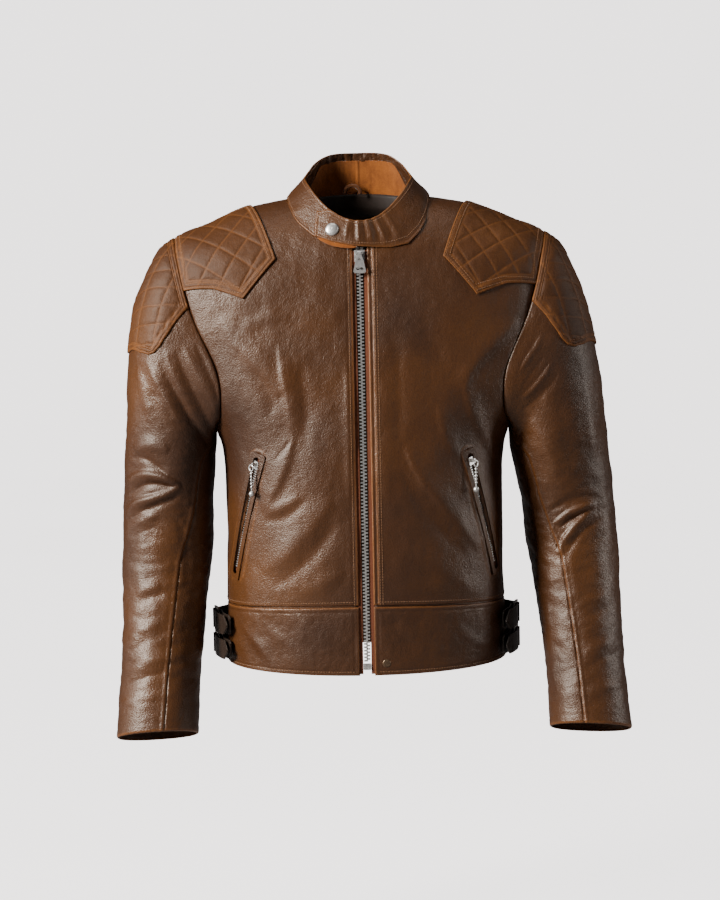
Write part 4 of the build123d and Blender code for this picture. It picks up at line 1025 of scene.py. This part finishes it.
for side, sign in (("left", 1), ("right", -1)):
    t_rows = CUFF * spaced(650, 1.9)
    phi = np.linspace(0, 360, 260, endpoint=False)
    points, normals = sleeve_skin(phi[None, :], t_rows[:, None], sign)
    along = edge_distance(points, "t")
    points = points - normals * (rolled(along, 1.6, 1.4) + 0.45 * bump(along, 9.0, 0.9))[..., None]
    wear = 0.9 * worn(along) + 0.5 * bump(phi[None, :], sleeve_seam(t_rows)[:, None] - 1.6, 0.9)
    row = int(np.argmin(np.abs(along[:, 0] - 9.0)))
    loop = np.r_[np.arange(len(phi)), 0]
    stitches(f"sleeve_{side}", points[row, loop], normals[row, loop])
    if sign < 0:
        points, wear = points[:, ::-1], wear[:, ::-1]
    piece = slab(f"sleeve_leather_{side}", points[::-1], 1.5, BROWN, None, wear[::-1], True)
    attach_sleeve(piece)
    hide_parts(f"sleeve_upper_{side}", f"sleeve_under_{side}")
    points, wear, distance, normals = sleeve_patch(sign)
    for inset in (2.4, 6.4):
        patch_stitches(f"sleeve_{side}", points, normals, distance, inset, 1)
    if sign > 0:
        points, wear = points[:, ::-1], wear[:, ::-1]
    patch = slab(f"sleeve_quilting_{side}", points, 1.2, QUILT, None, wear)
    attach_sleeve(patch)
    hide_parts(f"sleeve_patch_{side}")
    piece = sew(f"sleeve_{side}", f"stitching_sleeve_{side}", lambda o: attach_sleeve(o))


# ----------------------------------------- collar
TAB_END = -44.0
LOOP_X = -7.0
LOOP_FOOT = 3.0


# the collar's base line on the chest, from shoulder to shoulder, as (x, z)
BASE_LINE = np.array([
    (-88.5, -1.7), (-83.4, -17.4), (-72.2, -30.9), (-54.4, -45.8), (-33.9, -53.4), (-7.4, -58.8),
    (16.9, -60.5), (38.7, -60.9), (59.4, -56.5), (72.9, -43.4), (82.9, -27.3), (86.9, -7.5)])
base_run = np.concatenate([[0], np.cumsum(np.hypot(*np.diff(BASE_LINE, axis=0).T))])
BASE_U = np.linspace(-90, 90, 73)
base_x, base_z = [np.interp(BASE_U, base_run / base_run[-1] * 180 - 90, BASE_LINE[:, i]) for i in (0, 1)]
base_y = torso(*front_at(np.abs(base_x), base_z))[:, 1] - 2.0
front_share = smooth(90 - np.abs(BASE_U), 0, 22)
BASE_SHIFT = (np.stack([base_x, base_y, base_z], -1) - collar(BASE_U, 0.0 * BASE_U)) * front_share[:, None]


def lowered(u, t):
    """The collar's outer face, its base laid on the chest along the base line."""
    points = collar(u, t)
    around = (u + 180) % 360 - 180
    shift = np.stack([np.interp(around, BASE_U, BASE_SHIFT[:, i]) for i in range(3)], -1)
    return points + shift * (np.clip(1 - t / RIM, 0, 1)**1.3)[..., None]


# gathers beside the tab: centre and width in degrees, height in mm
GATHERS = ((-12, 2.2, 0.9), (-5, 1.6, -0.8), (-1, 1.6, 0.9), (5, 1.8, -0.9), (10, 2.0, 1.0),
           (16, 1.7, -0.8), (21, 2.0, 1.0), (28, 2.0, -0.7), (33, 2.4, 0.7), (43, 3, -0.5))


def collar_skin(u, t, lift):
    u, t = np.broadcast_arrays(np.asarray(u, float), np.asarray(t, float))
    points = lowered(u, t)
    normals = surface_normal(lowered, u, t, RIM)
    normals = normals * np.sign((normals[..., :2] * points[..., :2]).sum(-1) + 1e-9)[..., None]
    gathers = np.zeros(u.shape)
    for centre, width, height in GATHERS:
        gathers += height * bump(u + (t - 1.5) * centre * 0.12, centre, width)
    gathers *= smooth(t, 0.1, 1.2) * (1 - 0.3 * smooth(t, 2.6, 3))
    height = gathers + 0.7 * noise_field(points, 26, 2, 5.5) + 0.14 * noise_field(points, 6, 2, 1.1)
    return points + normals * (height * smooth(t, -0.1, 0.5) + lift)[..., None], normals


def collar_piece(low, high, span, lift):
    """One side of the collar: its grid with turned edges, wear, normals and distance from the edges."""
    columns = spaced(abs(high - low) * 1.25, 1.3)
    rows = spaced(46, 1.0)
    u = low + (high - low) * columns
    t_low, t_high = span(u)
    t = t_low[None, :] + (t_high - t_low)[None, :] * rows[:, None]
    uu = np.broadcast_to(u, t.shape)
    points, normals = collar_skin(uu, np.clip(t, 0, RIM), lift(uu))
    distance = edge_distance(points, "lrbt")
    points = points - normals * (rolled(distance, 1.4, 1.3) + 0.35 * bump(distance, 4.0, 0.7))[..., None]
    wear = 0.95 * worn(distance, 1.4) + 0.15 * bump(distance, 4.0, 0.8)
    return points, wear, normals, distance


def attach_tab(piece):
    """Bakes a piece's placement into its mesh."""
    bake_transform(piece)


def tab_span(u):
    low = np.zeros(u.shape)
    high = np.full(u.shape, RIM - 0.02)
    high = high - 1.0 * smooth(-u, 28, 44)
    return low, high


def plain_span(u):
    return np.zeros(u.shape), np.full(u.shape, RIM - 0.02)


points, wear, normals, distance = collar_piece(
    180.0, TAB_END, tab_span, lambda u: 0.4 + 3.0 * (1 - smooth(u, -2, 22)))
points = points[:, ::-1]
wear = wear[:, ::-1]
piece = slab("collar_leather_left", points, 2.0, BROWN, None, wear)
attach_tab(piece)
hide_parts("collar_tab")
j0 = int(np.argmax(distance[:, 60] > 3.8))
rows, columns = distance.shape
normals = normals[:, ::-1]
for j in (j0, rows - 1 - j0):
    span = np.arange(4, columns - 2)
    stitches("collar", points[j, span], normals[j, span])
end_column = int(np.argmax(distance[rows // 2, ::-1] > 3.6))
span = np.arange(j0, rows - j0)
stitches("collar", points[span, end_column], normals[span, end_column])
points, wear, normals, distance = collar_piece(357.0, 180.3, plain_span, lambda u: 0.4 + 0 * u)
points, wear, normals = points[:, ::-1], wear[:, ::-1], normals[:, ::-1]
piece = slab("collar_leather_right", points, 2.0, BROWN, "root", wear)
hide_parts("collar_outer")
for j in (j0, rows - 1 - j0):
    span = np.arange(4, points.shape[1] - 4)
    stitches("root", points[j, span], normals[j, span])


# domed press stud on the tab
search_u, search_t = np.meshgrid(np.linspace(-36, -14, 89), np.linspace(0.2, 2.6, 97))
skin, skin_normals = collar_skin(search_u, search_t, 3.4)
goal = np.array([(-32.8, -38.2)][0])
miss = np.hypot(skin[..., 0] - goal[0], skin[..., 2] - goal[1])
nearest = np.unravel_index(np.argmin(miss), miss.shape)
stud_out = skin_normals[nearest]
stud_side = np.cross(stud_out, (0, 0, 1))
stud_side /= np.linalg.norm(stud_side)
stud_up = np.cross(stud_side, stud_out)
turns = np.radians(np.arange(0, 360, 6))
dome = []
STUD_PROFILE = ((7.5, -1.2), (7.6, 0.2), (7.3, 1.1), (6.5, 1.8), (5.0, 2.3), (3.0, 2.6), (1.2, 2.7),
                (0.05, 2.7))
for radius, height in STUD_PROFILE:
    dome.append(skin[nearest] + stud_out * height
                + radius * (np.cos(turns)[:, None] * stud_side + np.sin(turns)[:, None] * stud_up))
piece = slab("tab_press_stud", np.stack(dome), 0.6, SILVER, "collar_tab_body", closed=True)
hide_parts("collar_snap_cap")


# suede inside the collar, and the gathered leather facing above it
def inner_band(name, low, high, lift, gather, material, node):
    columns = spaced(430, 1.2)
    rows = spaced(30, 1.0)[:, None]
    u = np.broadcast_to(3.0 + 354.0 * columns, (len(rows), len(columns)))
    split = 2.3 - 2.1 * smooth(np.cos(np.radians(u)), -0.74, -0.60)
    low = np.full(u.shape, low) if low is not None else split - 0.02
    high = np.full(u.shape, high) if high is not None else split + 0.02
    t = low + (high - low) * rows
    points = collar(u, t)
    normals = surface_normal(collar, u, t, RIM)
    normals = normals * np.sign((normals[..., :2] * points[..., :2]).sum(-1))[..., None]
    crinkle = gather * noise_field(points * (1, 1, 0.3), 7.0, 2, 3.0)
    crinkle = crinkle * smooth(-np.cos(np.radians(u)), -0.2, 0.5)
    soft = 0.8 * noise_field(points * (1, 1, 0.6), 24, 2, 6.0)
    points = points + normals * (lift - soft * 0.5 - crinkle)[..., None]
    hang = 11 * np.clip(1 - t / 2.3, 0, 1) * smooth(-np.cos(np.radians(u)), 0.2, 0.6)
    points = points - np.stack([0 * hang, 0 * hang, hang], -1)
    if gather < 0.5:
        points = points - normals * (0.9 * bump(u, 180, 0.9))[..., None]
    piece = slab(name, points, 0.8, material, "root")
    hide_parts(node)
    return piece


piece = inner_band("collar_suede", 0.03, None, -2.6, 0.3, SUEDE, "collar_lining")
piece = inner_band("collar_facing", None, 2.97, -2.1, 1.5, BROWN, "collar_top_facing")

# hanger loop: an arch of narrow strap inside the back of the collar
turns = np.radians(np.linspace(0, 180, 41))
loop = []
for out, ahead in ((11.6, 0.4), (11.9, 1.2), (11.2, 2.0), (9.4, 2.2), (7.9, 1.9), (7.4, 1.0), (7.9, 0.4)):
    rise = (out + 1.0) * np.sin(turns)**0.8
    loop.append(np.stack([LOOP_X + out * np.cos(turns), 55.5 - ahead + 0 * turns, LOOP_FOOT + rise], -1))
loop = np.stack(loop)
piece = slab("hanger_loop_strap", loop, 0.7, LOOP, "root")
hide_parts("hanger_loop")

# the orange turned edge that shows below the tab
columns = np.linspace(-41.0, -4.0, 40)
rows = []
for drop, out in ((-2.0, 1.6), (1.0, 2.0), (3.4, 2.4), (4.4, 2.2)):
    shape = np.sin(np.pi * (columns + 41.0) / 37.0)**0.5
    base = lowered(columns, np.zeros(columns.shape))
    out_way = base * (1, 1, 0) / np.linalg.norm(base[:, :2], axis=1)[:, None]
    rows.append(base + out_way * out - np.stack([0 * shape, 0 * shape, drop * shape], -1))
piece = slab("tab_turned_edge", np.stack(rows[::-1]), 0.9, SUEDE, "root")

# dark binding that closes the neck seam on the inside
u = np.linspace(0, 360, 241)[:-1]
rows = []
for share, drop, t in ((0.94, 34.0, 0.0), (0.94, 22.0, 0.0), (0.94, 10.0, 0.0), (0.945, 7.0, 0.1)):
    rows.append(collar(u, np.full(u.shape, t)) * (share, share, 1) - (0, 0, drop))
binding = slab("neck_binding", np.stack(rows), 0.8, LINING, "root", closed=True)

piece = sew("collar", "stitching_collar", attach_tab)
piece = sew("root", "stitching", lambda o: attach(o, "root"))

# ----------------------------------------- camera, light, stage
PAPER_GLOW = 3.4
FOCAL_PX = 2560.0
DISTANCE = 3.2
ELEVATION = math.radians(6.0)
AIM = Vector((-0.0039, 0.0, -0.315))
ROLL = math.radians(1.13)
camera_data = bpy.data.cameras.new("camera")
camera_data.sensor_fit = "HORIZONTAL"
camera_data.sensor_width = 36
camera_data.lens = 36 * FOCAL_PX / 720
camera_data.clip_end = 50
camera = bpy.data.objects.new("camera", camera_data)
bpy.context.scene.collection.objects.link(camera)
back = Vector((0, -math.cos(ELEVATION), math.sin(ELEVATION)))
camera.location = AIM + back * DISTANCE
turn = back.to_track_quat("Z", "Y").to_matrix().to_4x4()
camera.matrix_world = Matrix.Translation(camera.location) @ Matrix.Rotation(-ROLL, 4, back) @ turn
bpy.context.scene.camera = camera

# floor and backdrop in one round sheet that curves up at its edge
FLOOR, FLOOR_RADIUS, CURVE_RADIUS, WALL_TOP, SIDES = -950, 5400, 1400, 7000, 96
profile = [(1, FLOOR), (FLOOR_RADIUS, FLOOR)]
for k in range(1, 13):
    angle = math.radians(90 * k / 12)
    rise = CURVE_RADIUS * (1 - math.cos(angle))
    profile.append((FLOOR_RADIUS + CURVE_RADIUS * math.sin(angle), FLOOR + rise))
profile.append((FLOOR_RADIUS + CURVE_RADIUS, WALL_TOP))
turns = [2 * math.pi * k / SIDES for k in range(SIDES)]
stage_points = [(r * math.cos(a), r * math.sin(a), z) for r, z in profile for a in turns]
stage_faces = []
for k in range((len(profile) - 1) * SIDES):
    after = k + 1 if (k + 1) % SIDES else k + 1 - SIDES
    stage_faces.append((k, after, after + SIDES, k + SIDES))
backdrop = set_mesh("backdrop", stage_points, stage_faces)
paper, nodes, links, shader = new_material("paper")
paper_place = nodes.new("ShaderNodeTexCoord").outputs["Object"]
paper_tones = ramp(nodes, [(0.3, (0.78, 0.745, 0.738)), (0.7, (0.80, 0.765, 0.758))])
links.new(texture_noise(nodes, links, paper_place, 1.2, 2), paper_tones.inputs["Fac"])
shader.inputs["Base Color"].default_value = (0.22, 0.21, 0.21, 1)
links.new(paper_tones.outputs["Color"], shader.inputs["Emission Color"])
seen_directly = nodes.new("ShaderNodeLightPath").outputs["Is Camera Ray"]
glow = math_node(nodes, links, "MULTIPLY", seen_directly, PAPER_GLOW)
links.new(glow, shader.inputs["Emission Strength"])
shader.inputs["Roughness"].default_value = 0.9
backdrop.data.materials.append(paper)


def area_light(name, place, size, power, color=(1, 1, 1), target=AIM):
    data = bpy.data.lights.new(name, "AREA")
    data.shape = "RECTANGLE"
    data.size, data.size_y = size
    data.energy = power
    data.color = color
    light = bpy.data.objects.new(name, data)
    bpy.context.scene.collection.objects.link(light)
    light.location = place
    light.rotation_euler = (Vector(place) - Vector(target)).to_track_quat("Z", "Y").to_euler()


area_light("key", (-2.6, -1.6, 1.1), (0.8, 1.5), 320, (1, 0.98, 0.95))
area_light("left_strip", (-2.2, 0.3, 0.0), (0.3, 2.0), 9)
area_light("right_strip", (2.4, -0.1, 0.2), (0.35, 2.0), 28)
area_light("front_fill", (2.0, -2.6, 0.3), (0.8, 1.6), 4)
area_light("top", (0.0, -0.3, 2.2), (1.6, 0.8), 12)
world = bpy.data.worlds.new("world")
world.use_nodes = True
world.node_tree.nodes["Background"].inputs["Color"].default_value = (0.92, 0.90, 0.90, 1)
world.node_tree.nodes["Background"].inputs["Strength"].default_value = 0.022
bpy.context.scene.world = world

# materials of the CAD nodes, by the record's slots
SLOT_MATERIALS = {
    "silver_metal": SILVER, "antique_brass": BRASS, "zip_tape": TAPE, "suede": SUEDE,
    "lining_cloth": LINING, "dark_leather": DARK, "brown_leather": BROWN, "quilted_leather": QUILT}
for row in frame["record"]["subparts"]:
    if row["material_slot"] in SLOT_MATERIALS:
        node = frame["nodes"][row["node"]]
        node.data.materials.clear()
        node.data.materials.append(SLOT_MATERIALS[row["material_slot"]])
